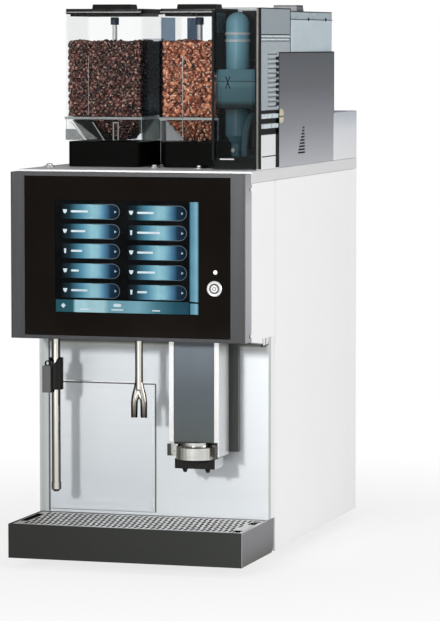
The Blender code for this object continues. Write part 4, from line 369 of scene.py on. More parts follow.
# A painted highlight along the smoked cover's right edge.
COVER_EDGE_HIGHLIGHT = surface("cover edge painted highlight", (0.055, 0.058, 0.045), 0.35, tone=0.1, grain=(300, 300, 20))
SMOKED = see_through("smoked cover", (0.8, 0.82, 0.82), (0.55, 0.6, 0.62), 0.02, 0.5, rough=0.04)
SCREEN_BACK = glowing("display ground", ((0, 1, 1.3, 1.6), (100, 1.4, 2, 2.6)), (370, 531), "Z", 0.4)
PILL_STOPS = ((0, 1.5, 3, 4), (14, 6, 18, 26), (34, 50, 160, 230), (52, 175, 335, 390), (62, 155, 310, 375),
    (74, 45, 130, 210), (84, 6, 20, 40), (100, 2, 4, 8))
PILL_LEFT = glowing("display bar left", PILL_STOPS, (-97.3, -10.2), "X", 0.6)
PILL_RIGHT = glowing("display bar right", PILL_STOPS, (1.8, 89.2), "X", 0.6)
BAR_TEAL = glowing("display scroll bar", ((0, 4, 15, 25), (16, 60, 170, 240), (45, 90, 215, 280),
    (78, 160, 300, 360), (90, 70, 170, 220), (100, 10, 30, 50)), (93.2, 107.1), "X", 0.5)
STRIP = glowing("display strip", ((0, 12, 55, 72), (13, 15, 65, 85), (15, 230, 390, 430), (36, 250, 400, 440),
    (40, 100, 220, 270), (62, 115, 245, 300), (76, 40, 116, 150), (90, 12, 55, 80), (100, 10, 40, 60)),
    (-106.5, 92.5), "X", 0.5)
MARK_WHITE = glowing("display mark", ((0, 420, 500, 540), (100, 500, 580, 620)), (370, 531), "Z", 0.45)
MARK_DIM = glowing("display outline", ((0, 50, 75, 90), (100, 85, 120, 140)), (370, 531), "Z", 0.45)
ARROW = glowing("display arrow", ((0, 220, 340, 400), (100, 260, 390, 450)), (370, 531), "Z", 0.45)
LAMP = glowing("status lamp", ((0, 550, 720, 860), (100, 860, 920, 960)), (426, 436), "Z", 0.8)


# Geometry, in millimetres

PUT = {"x": lambda u, v, w: (w, u, v), "y": lambda u, v, w: (u, w, v), "z": lambda u, v, w: (u, v, w)}


def span(name):
    """The box of a CAD node: its low and high place on each axis."""
    low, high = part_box(name)
    return [(low[i] / MM, high[i] / MM) for i in range(3)]


def ring_faces(first, second, count):
    """Faces between two rings of points, from their first points on."""
    return [(first + i, first + (i + 1) % count, second + (i + 1) % count, second + i) for i in range(count)]


class Form:
    """Gathers closed shapes in one mesh."""

    def __init__(self):
        self.points, self.faces = [], []

    def add(self, points, faces):
        first = len(self.points)
        self.points += [tuple(p) for p in points]
        self.faces += [tuple(first + i for i in face) for face in faces]

    def prism(self, outline, low, high, axis="z"):
        """Extrude an outline. For x it holds (y, z), for y (x, z) and for z (x, y)."""
        n = len(outline)
        self.add([PUT[axis](u, v, level) for level in (low, high) for u, v in outline],
                 [tuple(range(n)), tuple(range(n, 2 * n))] + ring_faces(0, n, n))

    def box(self, x, y, z):
        self.prism([(x[0], y[0]), (x[1], y[0]), (x[1], y[1]), (x[0], y[1])], *z)

    def lathe(self, profile, centre, axis="z", steps=32, closed=False):
        """Turn (radius, height) points about an axis; closed joins the last point to the first."""
        turns = [2 * math.pi * i / steps for i in range(steps)]
        points = [PUT[axis](radius * math.cos(angle), radius * math.sin(angle), level)
                  for radius, level in profile for angle in turns]
        rings = len(profile)
        faces = []
        for ring in range(rings if closed else rings - 1):
            faces += ring_faces(ring * steps, (ring + 1) % rings * steps, steps)
        if not closed:
            faces += [tuple(range(steps)), tuple(range((rings - 1) * steps, rings * steps))]
        self.add([[p + c for p, c in zip(point, centre)] for point in points], faces)

    def pipe(self, profile, x, y, z, axis="z", steps=24):
        """A turned band from its inner radius, outer radius, low and high place."""
        inner, outer, low, high = profile
        profile = [(inner, low), (outer, low), (outer, high), (inner, high)]
        self.lathe(profile, (x, y, z), axis, steps, closed=True)

    def tube(self, path, radius, sides=16):
        """Sweep a round section, of one radius or a list of them, along points."""
        path = [Vector(p) for p in path]
        radii = radius if isinstance(radius, list) else [radius] * len(path)
        side, points = None, []
        for i, point in enumerate(path):
            ahead = (path[min(i + 1, len(path) - 1)] - path[max(i - 1, 0)]).normalized()
            side = (ahead.orthogonal() if side is None else side - ahead * side.dot(ahead)).normalized()
            other = ahead.cross(side)
            for k in range(sides):
                angle = 2 * math.pi * k / sides
                points.append(point + radii[i] * (math.cos(angle) * side + math.sin(angle) * other))
        last = (len(path) - 1) * sides
        faces = [face for start in range(0, last, sides) for face in ring_faces(start, start + sides, sides)]
        self.add(points, faces + [tuple(range(sides)), tuple(range(last, last + sides))])

    def done(self, name, material, slot, body="chassis", bevel=0.0, replaces=None):
        """Make the piece in one material."""
        mesh = bpy.data.meshes.new(name)
        mesh.from_pydata([Vector(p) * MM for p in self.points], [], self.faces)
        mesh.materials.append(material)
        return settle(name, mesh, slot, body, bevel, replaces)


def settle(name, mesh, slot, body, bevel, replaces=None, dissolve=False):
    """Make a piece of a mesh and let it ride on a body."""
    work = bmesh.new()
    work.from_mesh(mesh)
    if dissolve:
        bmesh.ops.remove_doubles(work, verts=work.verts, dist=1e-6)
        bmesh.ops.dissolve_limit(work, angle_limit=math.radians(1.0), verts=work.verts, edges=work.edges)
    bmesh.ops.recalc_face_normals(work, faces=work.faces)
    work.to_mesh(mesh)
    work.free()
    mesh.shade_smooth()
    thing = add_object(name, mesh)
    if bevel:
        soften = thing.modifiers.new("soften", "BEVEL")
        soften.width, soften.segments = bevel * MM, 2
        soften.limit_method, soften.angle_limit = "ANGLE", SHARP
        thing.modifiers.new("even", "WEIGHTED_NORMAL").keep_sharp = False
    else:
        mesh.set_sharp_from_angle(angle=SHARP)
    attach(thing, body)
    if replaces:
        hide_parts(replaces)
    return thing


def strips(name, material, slot, *boxes, body="chassis", bevel=0.0):
    """Several boxes in one piece."""
    form = Form()
    for box in boxes:
        form.box(*box)
    form.done(name, material, slot, body, bevel)


def sheet(name, material, slot, outline, levels, axis="z", bevel=0.0):
    """One prism as a piece."""
    form = Form()
    form.prism(outline, *levels, axis)
    form.done(name, material, slot, bevel=bevel)


# Materials of the CAD nodes

def coat(mesh, material, others=()):
    """Put a material on a mesh, and others on the faces that pass their tests."""
    mesh.materials.clear()
    for each in (material, *(other for other, test in others)):
        mesh.materials.append(each)
    for face in mesh.polygons:
        face.material_index = 0
        for i, (other, test) in enumerate(others):
            if test(face):
                face.material_index = i + 1


def within(value, low, high):
    """Whether a length in metres lies between two in millimetres."""
    return low * MM < value < high * MM


def dress(name, material, bevel):
    """Give a CAD node its material; with a bevel, a copy with softened edges stands in for it."""
    mesh = frame["nodes"][name].data
    if bevel:
        mesh = mesh.copy()
        if name == "drip_tray":
            for vertex in mesh.vertices:
                vertex.co.x = max(min(vertex.co.x, TRAY_HALF_WIDTH * MM), -TRAY_HALF_WIDTH * MM)
    coat(mesh, material, OTHERS.get(name, ()))
    if bevel:
        settle(name + "_soft", mesh, SLOT[name], BODY[name], bevel, name, dissolve=True)


def flank(face):
    """Faces at the sides of the body."""
    return abs(face.normal.x) > 0.9 and abs(face.center.x) > 174.5 * MM


def behind_panel(face):
    """The head's front sheet, seen when the panel is open."""
    return face.normal.y < -0.9 and face.center.y < -250 * MM and abs(face.center.x) < 150 * MM


def in_basin(face):
    """Faces inside the drip tray."""
    x, y, z = face.center
    return within(x, -170, 170) and within(y, -322, -192) and within(z, 24, 61)


def round_band(low, high):
    """Test for the faces of an upright round band."""
    return lambda face: abs(face.normal.z) < 0.5 and within(face.center.z, low, high)


TRAY_HALF_WIDTH = 174.92
OTHERS = {
    "panel_frame": ((FRAME_SIDE_PAINTED_LIGHT, flank),), "drip_tray": ((TRAY_SIDE_PAINTED_LIGHT, flank), (BASIN_PAINTED_SHADE, in_basin)),
    "front_wall": ((WALL_FLANK_PAINTED_SHADE, flank),),
    "head_housing": ((ZINC, behind_panel), (FRAME_GREY, lambda face: face.center.y < -279 * MM)),
    "brew_cylinder": ((YOKE_TEAL, lambda face: within(face.center.z, 660, 716)),
        (BAND_PAINTED_HIGHLIGHT, round_band(756, 759)), (BAND_PAINTED_HIGHLIGHT, round_band(766, 769))),
    "wand_grip": ((GRIP_GREY, lambda face: face.center.x < -131 * MM and face.center.y < -260 * MM),),
    "outlet_ring": ((LUG_STEEL, lambda face: face.center.x < 60 * MM or face.center.x > 112.5 * MM),),
    "outlet_nozzles": ((BRIGHT_STEEL, lambda face: face.normal.x > 0.9 and face.center.x > 110 * MM),),
}
for material, bevel, names in (
    (RUBBER, 0, "foot_front_left foot_front_right foot_rear_left foot_rear_right"),
    (BLACK_SATIN, 0, "rear_connections grounds_container outlet_nozzles"), (BOILER, 0, "steam_boiler"),
    (ZINC, 0, "base_pan rear_panel control_box"), (TEAL_PALE, 0, "brew_hose"), (TEAL, 0, "brew_cylinder"),
    (CAST, 0, "water_pump left_grinder right_grinder"), (SMOKED, 0, "smoked_cover"),
    (BRIGHT_STEEL, 0, "left_burr right_burr powder_auger"), (CHROME_TRIM, 0, "brew_piston wand_cup"),
    (ROD_STEEL, 0, "left_hopper_rod right_hopper_rod"), (CHROME, 0, "steam_wand hot_water_spout"),
    (RING_BRIGHT, 0, "button_ring"), (WHITE_PLASTIC, 0, "power_button"), (LAMP, 0, "status_lamp"),
    (SCREEN_BACK, 0, "touch_screen"), (BLACK_GLASS, 0, "panel_glass"), (PLATE_GREY, 0, "brew_side_plate"),
    (RAIL_GREY, 0, "outlet_rail"), (POLISHED, 0, "outlet_ring"), (CLEAR, 0, "left_hopper right_hopper"),
    (SIDE_STEEL, 0.6, "left_side_panel right_side_panel"), (DECK_STEEL, 0.8, "top_deck"),
    (STEEL_WALL, 0.4, "front_wall"), (STEEL_DOOR, 0.8, "service_door"), (SIDE_STEEL, 0.6, "head_housing"),
    (FRAME_GREY, 0.8, "panel_frame"), (BRIGHT_STEEL, 0.6, "outlet_channel"),
    (OUTLET_GREY, 0.4, "outlet_cover"), (TRAY_GREY, 0.5, "drip_tray"),
    (BASE_BLACK, 1.2, "left_hopper_base right_hopper_base"),
    (BLACK_GLOSS, 0.8, "left_hopper_lid right_hopper_lid"), (LID_MILKY, 0.5, "canister_lid"),
    (BLACK_GLOSS, 0.8, "brew_base"), (CANISTER, 0.6, "powder_canister"), (COVER_PAINTED_REFLECTION, 0.5, "side_cover"),
    (CREAM, 0.3, "cover_latch"), (REAR_COVER_GRADIENT, 1.5, "rear_cover"), (BLACK_SATIN, 0.4, "wand_grip"),
):
    for name in names.split():
        dress(name, material, bevel)


# Display

GLASS_Y = -309.1
BAR_RADIUS = 10.4
LABELS = ((26, 22, 17, 12, 25), (25, 34, 24, 27, 15))
CUP = ((2, 2.8), (8.4, 2.8), (7.4, -1.2), (5.2, -3.2), (3, -1.2))
TUMBLER = ((3.6, 3.2), (7, 3.2), (6.4, -3.4), (4.2, -3.4))


def half_round(x, z, radius, start, steps):
    """Points of a half circle from a start angle on."""
    turns = [start + math.pi * i / steps for i in range(steps + 1)]
    return [(x + radius * math.cos(angle), z + radius * math.sin(angle)) for angle in turns]


def stadium(x, z, radius, steps=8, both=False):
    """A bar's outline with a round right end, or both."""
    middle = (z[0] + z[1]) / 2
    right = half_round(x[1] - radius, middle, radius, -math.pi / 2, steps)
    if both:
        return right + half_round(x[0] + radius, middle, radius, math.pi / 2, steps)
    return right + [(x[0], z[1]), (x[0], z[0])]


def flat(form, outline, front, back=0.2):
    """A flat shape on the glass, between two distances in front of it."""
    form.prism(outline, GLASS_Y - front, GLASS_Y - back, "y")


left_bars, right_bars, outlines, marks, arrows, scroll, strip, symbols = (Form() for _ in range(8))
for column, bars, left, right in ((0, left_bars, -97.3, -10.2), (1, right_bars, 1.8, 89.2)):
    for row, length in enumerate(LABELS[column]):
        middle = 514.6 - 28.15 * row - 0.8 * column
        z = (middle - BAR_RADIUS, middle + BAR_RADIUS)
        flat(bars, stadium((left, right), z, BAR_RADIUS), 0.25, -0.2)
        edge = stadium((left + 46, right), z, BAR_RADIUS)
        outlines.tube([(u, GLASS_Y - 0.45, v) for u, v in [edge[-1]] + edge[:-1]], 0.55, 6)
        x = left + 14
        flat(marks, stadium((x, x + length), (middle - 1.5, middle + 1.8), 1.5, 4, True), 0.6)
        vessel = TUMBLER if (row + column) % 3 == 2 else CUP
        flat(marks, [(left + u, middle + v) for u, v in vessel], 0.6)
        tip = right - 4.5
        flat(arrows, [(tip - 3.2, middle + 2), (tip, middle), (tip - 3.2, middle - 2)], 0.6)
flat(scroll, [(93.4, 389.5), (107.2, 388.6), (107.2, 530), (93.4, 530)], 0.25, -0.2)
flat(scroll, [(93.8, 371.2), (106.6, 371), (106.6, 386.4), (93.8, 386.8)], 0.25, -0.2)
flat(strip, [(-106.4, 370.9), (92.4, 370.9), (92.4, 388.4), (-106.4, 388.4)], 0.2, -0.2)
flat(symbols, [(-95, 383.6), (-91.4, 380), (-95, 376.4), (-98.6, 380)], 0.5)
for x, width in ((-62, 16), (-14, 18), (44, 12)):
    flat(symbols, stadium((x - width / 2, x + width / 2), (374.4, 376.2), 0.9, 3, True), 0.5)
flat(symbols, stadium((-20, -8), (379.4, 384.2), 2.2, 4, True), 0.5)
for name, form, material in (
    ("bars_left", left_bars, PILL_LEFT), ("bars_right", right_bars, PILL_RIGHT),
    ("bar_edges", outlines, MARK_DIM), ("marks", marks, MARK_WHITE), ("arrows", arrows, ARROW),
    ("scroll_bar", scroll, BAR_TEAL), ("strip", strip, STRIP), ("symbols", symbols, MARK_WHITE),
):
    form.done("display_" + name, material, "screen", "control_panel")


# Seams, flanges and small fittings of the body

WALL_Y = -187.3
x, y, z = span("service_door")
line, lip = (WALL_Y - 0.12, WALL_Y + 0.4), (WALL_Y - 0.2, WALL_Y + 0.4)
strips("door_gap_lines", SEAM_AND_GROOVE_SHADE, "stainless",
    ((x[0] - 0.9, x[1] + 0.9), line, (z[1] - 0.5, z[1] + 1.3)), ((x[1] - 0.6, x[1] + 1.4), line, z),
    ((x[0] - 1, x[0] + 0.6), line, z), ((-160.6, -158.8), (WALL_Y - 1, WALL_Y + 0.4), (66, 330)))
strips("door_lip_lines", BRIGHT_STEEL, "stainless", ((x[1] - 4, x[1] - 2.2), lip, (z[0] + 2, z[1] - 6)),
    ((x[0] + 12, x[1] - 4), lip, (z[1] + 1.6, z[1] + 3.4)), bevel=0.15)
back = WALL_Y + 0.3
sheet("wall_left_flange", FLANGE_PAINTED_SHADE, "stainless", [(-174.8, back), (-174.8, WALL_Y - 0.9),
    (-160.2, WALL_Y - 0.9), (-159.4, WALL_Y - 0.1), (-159.4, back)], (66, 330.4))
strips("side_seams", SEAM_PALE, "light_panel", ((174.3, 174.97), (-154.4, -149.6), (317, 572)))
sheet("head_gusset", SIDE_STEEL, "light_panel",
    [(-277, 331.2), (-152.2, 331.2), (-152.2, 317), (-277, 330.6)], (173.4, 174.9), "x")
sheet("head_hem", HEM_GREY, "anthracite", [(-277.5, 330.7), (-152.2, 317.1), (-152.2, 315.2), (-277.5, 329)],
    (171.5, 174.95), "x", 0.2)
strips("head_catch", WHITE_PLASTIC, "stainless", ((172.6, 174.96), (-216, -152.5), (320.5, 331.5)), bevel=0.9)
strips("head_catch_lines", DARK_GAP, "rubber", ((172.6, 174.98), (-217.5, -153), (319.6, 320.7)),
    ((172.6, 174.98), (-217.5, -216), (319.6, 332)), ((174, 174.99), (-189, -160), (321, 324.6)),
    ((174, 174.99), (-203, -200), (321, 331)))
# A strip painted as the head's shadow on the top of the wall.
strips("wall_top_painted_shadow", WALL_TOP_PAINTED_SHADOW, "stainless", ((-158.8, 171.5), (WALL_Y - 0.5, back), (310, 322)))
bolts = Form()
for x, y in ((-160.8, -180), (-0.5, -176), (69.5, -181)):
    for outer, inner, low, high in ((8.5, 7, 572.4, 574.4), (4.6, 3.6, 574.2, 577.6)):
        profile = [(0.4, low), (outer, low), (outer, high - 0.8), (inner, high), (0.4, high)]
        bolts.lathe(profile, (x, y, 0), "z", 24)
bolts.done("deck_bolts", CHROME_TRIM, "stainless", bevel=0.3)


# Spout and button details

(low_x, high_x), (front, _), (end, _) = span("hot_water_spout")
SLEEVE = ((1.6, 56, 3.8), (2, 50, 4.2), (3.2, 43, 4.5), (5, 36, 4.7), (6.4, 29, 4.9), (7.1, 21, 5),
          (7.2, 12, 4.9), (7.2, 4, 4.8), (7.2, 0.4, 4.7))
ends = Form()
for side in (-1, 1):
    route = [((low_x + high_x) / 2 + side * away, front + 11, end + rise) for away, rise, radius in SLEEVE]
    ends.tube(route, [radius for away, rise, radius in SLEEVE], 24)
ends.done("spout_sleeves", SPOUT_END, "stainless")
x, y, z = span("power_button")
middle = (x[0] + x[1]) / 2, 0, (z[0] + z[1]) / 2
rings = Form()
rings.pipe((5.2, 7.3, y[0] - 0.3, y[0] + 0.3), *middle, "y", 32)
rings.pipe((1.9, 2.7, y[0] - 0.3, y[0] + 0.3), *middle, "y")
rings.done("button_marks", BUTTON_MARK, "screen", BODY["power_button"])


# Fittings of the brew module and its side plate

PLATE_X = (174.2, 174.8)
COVER_X = (173.1, 174.98)
PLATE_SLOT = SLOT["brew_side_plate"]
strips("slot_backing", DARK_GAP, DARK_SLOT, ((172.66, 172.95), (-34, 18), (586, 634)))
strips("plate_front_edge", DARK_GAP, DARK_SLOT, ((171.2, 174.9), (-228.5, -226.5), (574, 803.5)))
# A painted highlight along the smoked cover's right edge.
strips("cover_edge_highlight", COVER_EDGE_HIGHLIGHT, DARK_SLOT, ((168.4, 171.2), (-228.4, -226.5), (574, 803.5)))
dark_lines = [
    ((-227, -68.5), (802.4, 803.8)), ((-227, -70), (764.6, 766)), ((-227, -70), (760.2, 761.4)),
    ((-227, -76), (756, 757)), ((-71.5, -68.5), (739.6, 803)), ((-221, -149.5), (590.8, 592.2)),
    ((-226, -132), (652.6, 657.5)), ((-226, -132), (638.4, 645.6)), ((-226, -132), (622.6, 631.4)),
    ((-149, -132.2), (574, 655)),
] + [((-147.5, -132.2), (729 - 8.2 * i, 734 - 8.2 * i)) for i in range(9)]
rib_tops = [740 - 6.8 * i for i in range(12)]
strips("plate_dark_lines", DARK_GAP, DARK_SLOT, *((PLATE_X, y, z) for y, z in dark_lines))
# Painted shade in the grooves under the plate's ribs.
strips("plate_groove_shade", SEAM_AND_GROOVE_SHADE, DARK_SLOT,
    *(((173.6, 174.6), (-192, -140), (top - 3.3, top - 2.2)) for top in rib_tops))
# Pale bands and ribs on the plate, and painted highlights along the tops of the ribs.
strips("plate_pale_lines_and_highlights", PALE_BANDS_AND_HIGHLIGHTS, PLATE_SLOT, (PLATE_X, (-226, -70), (761.5, 764.4)),
    (PLATE_X, (-226, -78), (757.2, 759.8)), ((174.2, 174.95), (-221, -136), (645.8, 651.8)),
    ((174.2, 174.95), (-221, -136), (631.6, 637.6)),
    *((PLATE_X, (-186, -147.8), (top - 0.2, top + 0.7)) for top in rib_tops))
strips("side_cover_edges", DARK_GAP, DARK_SLOT, (COVER_X, (-131.2, 182), (738.6, 740.4)),
    (COVER_X, (-132.6, -130.9), (574, 740.4)), (COVER_X, (182.1, 183.4), (649, 740.4)))
strips("canister_clips", DARK_GAP, DARK_SLOT, ((171.5, 173.4), (36, 42), (786.5, 791)),
    ((171.5, 173.4), (137, 143), (786.5, 791)), ((171.5, 172.9), (-58.5, 181.5), (787.6, 788.6)))
strips("brew_liner", DARK_GAP, DARK_SLOT, ((101.25, 102.2), (-221, -76), (712, 799)),
    ((101.25, 103.8), (-224.7, -221), (586, 799)), ((164.8, 167.8), (-224.7, -221), (586, 799)))
strips("brew_back_plate", TEAL_PALE, SLOT["brew_hose"], ((102.2, 102.9), (-204, -163), (768, 797)))
strips("yoke_seam", DARK_GAP, DARK_SLOT, ((103, 166.5), (-214.2, -213.5), (698.6, 699.4)))
cross = Form()
for a, b in ((117.6, 124.2), (124.2, 117.6)):
    cross.prism([(a, 706), (a + 1.5, 706), (b + 1.5, 688.5), (b, 688.5)], -214.4, -213.5, "y")
cross.done("yoke_mark", DARK_GAP, DARK_SLOT)
inner = Form()
inner.pipe((5, 6.4, -74.5, -71.2), 117, 0, 724, "y")
inner.lathe([(0.4, -76), (3.2, -76), (3.2, -71.2), (0.4, -71.2)], (117, 0, 704), "y", 20)
inner.tube([(110, -80, 600), (110, -80, 700), (108, -80, 720), (108, -80, 790)], 2.6, 12)
inner.tube([(122, -82, 600), (124, -82, 680), (128, -82, 720), (128, -82, 790)], 2.0, 12)
inner.done("brew_fittings", FRAME_GREY, DARK_SLOT)
ball = Form()
ball.lathe([(0.3, -3.2), (2.2, -2.4), (3.2, 0), (2.2, 2.4), (0.3, 3.2)], (127.5, -206, 600), "z", 16)
ball.box((113, 134), (-224.75, -224.5), (587.2, 588.8))
ball.done("brew_drip_ball", WHITE_PLASTIC, PLATE_SLOT)
hook = Form()
hook.pipe((2.6, 4.4, -263, -260.2), -136, 0, 291.4, "y")
hook.done("grip_hook", BLACK_GLOSS, SLOT["wand_grip"], BODY["wand_grip"])


# Ribs, rims and tinted areas of the clear containers

FOOT_Z, RIM_Z, WALL_Z = 612, 642.2, 646
for side in ("left", "right"):
    x, y, _ = span(side + "_hopper")
    x0, x1, y0, y1 = x[0] + 1.1, x[1] - 1.1, y[0] + 1.1, y[1]
    rib_y, tint_y = (y0 - 0.3, y0 + 0.1), (y0 - 0.2, y0 + 0.1)
    rim = Form()
    rim.box((x0 - 0.3, x1 + 0.3), (y0 - 0.3, y0 + 0.2), (RIM_Z, 645.8))
    for x in ((x1 - 0.2, x1 + 0.3), (x0 - 0.3, x0 + 0.2)):
        rim.box(x, (y0 + 0.2, y1 - 2), (RIM_Z, 645.8))
    for x in (x0 + 2, x1 - 1.2):
        rim.box((x, x + 0.8), rib_y, (FOOT_Z, RIM_Z))
    if side == "left":
        for top, foot in ((-131.5, -108), (-98.5, -81)):
            rim.prism([(top, 638), (top + 2.2, 638), (foot + 2.2, FOOT_Z), (foot, FOOT_Z)], *rib_y, "y")
        rim.prism([(-66.4, FOOT_Z), (-66.4, 638.6), (-57.4, 638.6), (-57.4, FOOT_Z), (-59, FOOT_Z),
            (-59, 637), (-64.8, 637), (-64.8, FOOT_Z)], *rib_y, "y")
        rim.box((-103.9, -103.3), (y0 - 0.25, y0 + 0.1), (648, 735))
    else:
        rim.box((39.8, 40.8), rib_y, (FOOT_Z, 735))
    rim.done(side + "_hopper_ribs", CLEAR_RIB, CLEAR_SLOT)
    wall_y, side_x = (y0 + 1, y1 - 2), (x1 - 0.15, x1 + 0.2)
    if side == "left":
        strips("left_hopper_side_shade", SIDE_TINT, CLEAR_SLOT, (side_x, wall_y, (WALL_Z, 760)))
        sheet("left_hopper_funnel_side", FUNNEL_TINT, CLEAR_SLOT,
              [(-129, 641), (-97.5, 641), (-79, FOOT_Z), (-106, FOOT_Z)], tint_y, "y")
        sheet("left_hopper_funnel_corner", CORNER_TINT, CLEAR_SLOT,
              [(x0 + 1, 628), (-123.5, 628), (-109.5, FOOT_Z), (x0 + 1, FOOT_Z)], tint_y, "y")
    else:
        for name, material, box in (
            ("side_shade", NAVY_TINT, ((x0 - 0.2, x0 + 0.15), wall_y, (WALL_Z, 757))),
            ("funnel_side", FUNNEL_TINT, ((x0 + 1, x0 + 10.5), tint_y, (FOOT_Z, 641))),
            ("rear_rib", NAVY_TINT, ((15, 38.5), (-64.5, -63.5), (757, 790.5))),
            ("inner_wall", BLUE_TINT, ((6.4, 7), (-165, -98), (757, 790.5))),
        ):
            strips("right_hopper_" + name, material, CLEAR_SLOT, box)
    strips(side + "_hopper_skirt", SKIRT_TINT, CLEAR_SLOT, (side_x, (y0 + 1, y1 - 22), (611, 642)))
    lid = side + "_hopper_lid"
    x, y, _ = span(lid)
    # A painted highlight along the top of each lid's front face.
    strips(side + "_lid_painted_highlight", LID_EDGE_PAINTED_HIGHLIGHT, SLOT[lid],
           ((x[0] + 1, x[1] - 1), (y[0] - 0.15, y[0] + 0.2), (797.6, 799)), body=BODY[lid])
    x, y, z = span(side + "_hopper_rod")
    cap = Form()
    cap.pipe((5.9, 6.15, z[1] - 11, z[1] - 0.9), (x[0] + x[1]) / 2, (y[0] + y[1]) / 2, 0)
    cap.done(side + "_rod_cap", CAP_NAVY, "rubber")

x, y, z = span("left_hopper_base")
strips("hopper_base_link", BLACK_SATIN, DARK_SLOT,
    ((x[1] - 1, span("right_hopper_base")[0][0] + 4), (y[1] - 2, y[1] - 0.5), (z[0] + 0.1, z[1] - 1)))


# Coffee beans

NECK, SHOULDER, FILL_TOP = 611.0, 646.4, 756.0
ROD_Y = -115.0


def bean_template():
    """One bean, a dome with a creased underside: its points, faces and crease marks."""
    around = [-90, -80, -66, -40, -5, 35, 65, 90, 115, 145, 185, 220, 246, 260]
    rings = 6
    points, crease = [(-1.0, 0.0, -0.1)], [0.0]
    for ring in range(1, rings):
        across = math.sin(math.pi * ring / rings)
        for angle in around:
            y = math.cos(math.radians(angle)) * across * 0.72
            z = math.sin(math.radians(angle)) * across * 0.60
            if z < 0:
                z *= 0.55
            mark = 1.0 if angle == -90 else (0.5 if angle in (-80, 260) else 0.0)
            points.append((-math.cos(math.pi * ring / rings), y, z + 0.26 * mark * across))
            crease.append(mark)
    points.append((1.0, 0.0, -0.1))
    crease.append(0.0)
    n, last = len(around), len(points) - 1
    faces = [(0, 1 + (k + 1) % n, 1 + k) for k in range(n)]
    for ring in range(rings - 2):
        faces += ring_faces(1 + ring * n, 1 + (ring + 1) * n, n)
    a = 1 + (rings - 2) * n
    return points, faces + [(a + k, a + (k + 1) % n, last) for k in range(n)], crease


def bean_material(name, dark, mid, light, crease, rough, glint_colour):
    """Beans of many tones, with mottled skin, painted glints and a seam."""
    material, tree, shader = new_material(name, Specular_IOR_Level=0.36)
    tone, seam = (node(tree, "ShaderNodeAttribute", attribute_name=key).outputs["Fac"]
                  for key in ("tone", "crease"))
    skin = noise(tree, 500)
    stops = ((place, *scaled(colour, 1000)) for place, colour in ((0, dark), (55, mid), (100, light)))
    base = ramp(tree, tone, tuple(stops))
    base = blend(tree, spread(tree, skin, 0.0, 0.35), base, dark)
    base = blend(tree, seam, base, crease)
    # Painted highlights: small bright noise spots stand in for glints on the beans.
    painted_glints = ramp(tree, noise(tree, (260, 260, 330), 2.0), ((0, 0), (56.5, 0), (64, 850)))
    feed(tree, shader, Base_Color=blend(tree, painted_glints, base, glint_colour),
         Roughness=spread(tree, skin, rough - 0.08, rough + 0.12))
    roughen(tree, shader, 900, 0.12)
    return material


BEAN_POINTS, BEAN_FACES, BEAN_CREASE = bean_template()
# The last colour of each kind is its painted glint.
DARK_BEANS = bean_material("dark roast", (0.008, 0.002, 0.002), (0.060, 0.014, 0.011), (0.17, 0.052, 0.042),
    (0.15, 0.062, 0.044), 0.16, (0.52, 0.32, 0.24))
PALE_BEANS = bean_material("light roast", (0.13, 0.028, 0.012), (0.45, 0.120, 0.050), (0.84, 0.34, 0.18),
    (0.045, 0.011, 0.006), 0.20, (1.0, 0.72, 0.54))
# The cores are painted dark as the shade deep inside the heap of beans.
CORE = surface("bean core", (0.02, 0.009, 0.007), 0.6, tone=0.5, grain=140, bump=0.4)
CORE_PALE = surface("pale bean core", (0.07, 0.022, 0.011), 0.6, tone=0.5, grain=140, bump=0.4)


def steps(start, end, stride):
    """Places from start on, as long as they are below end."""
    while start < end:
        yield start
        start += stride


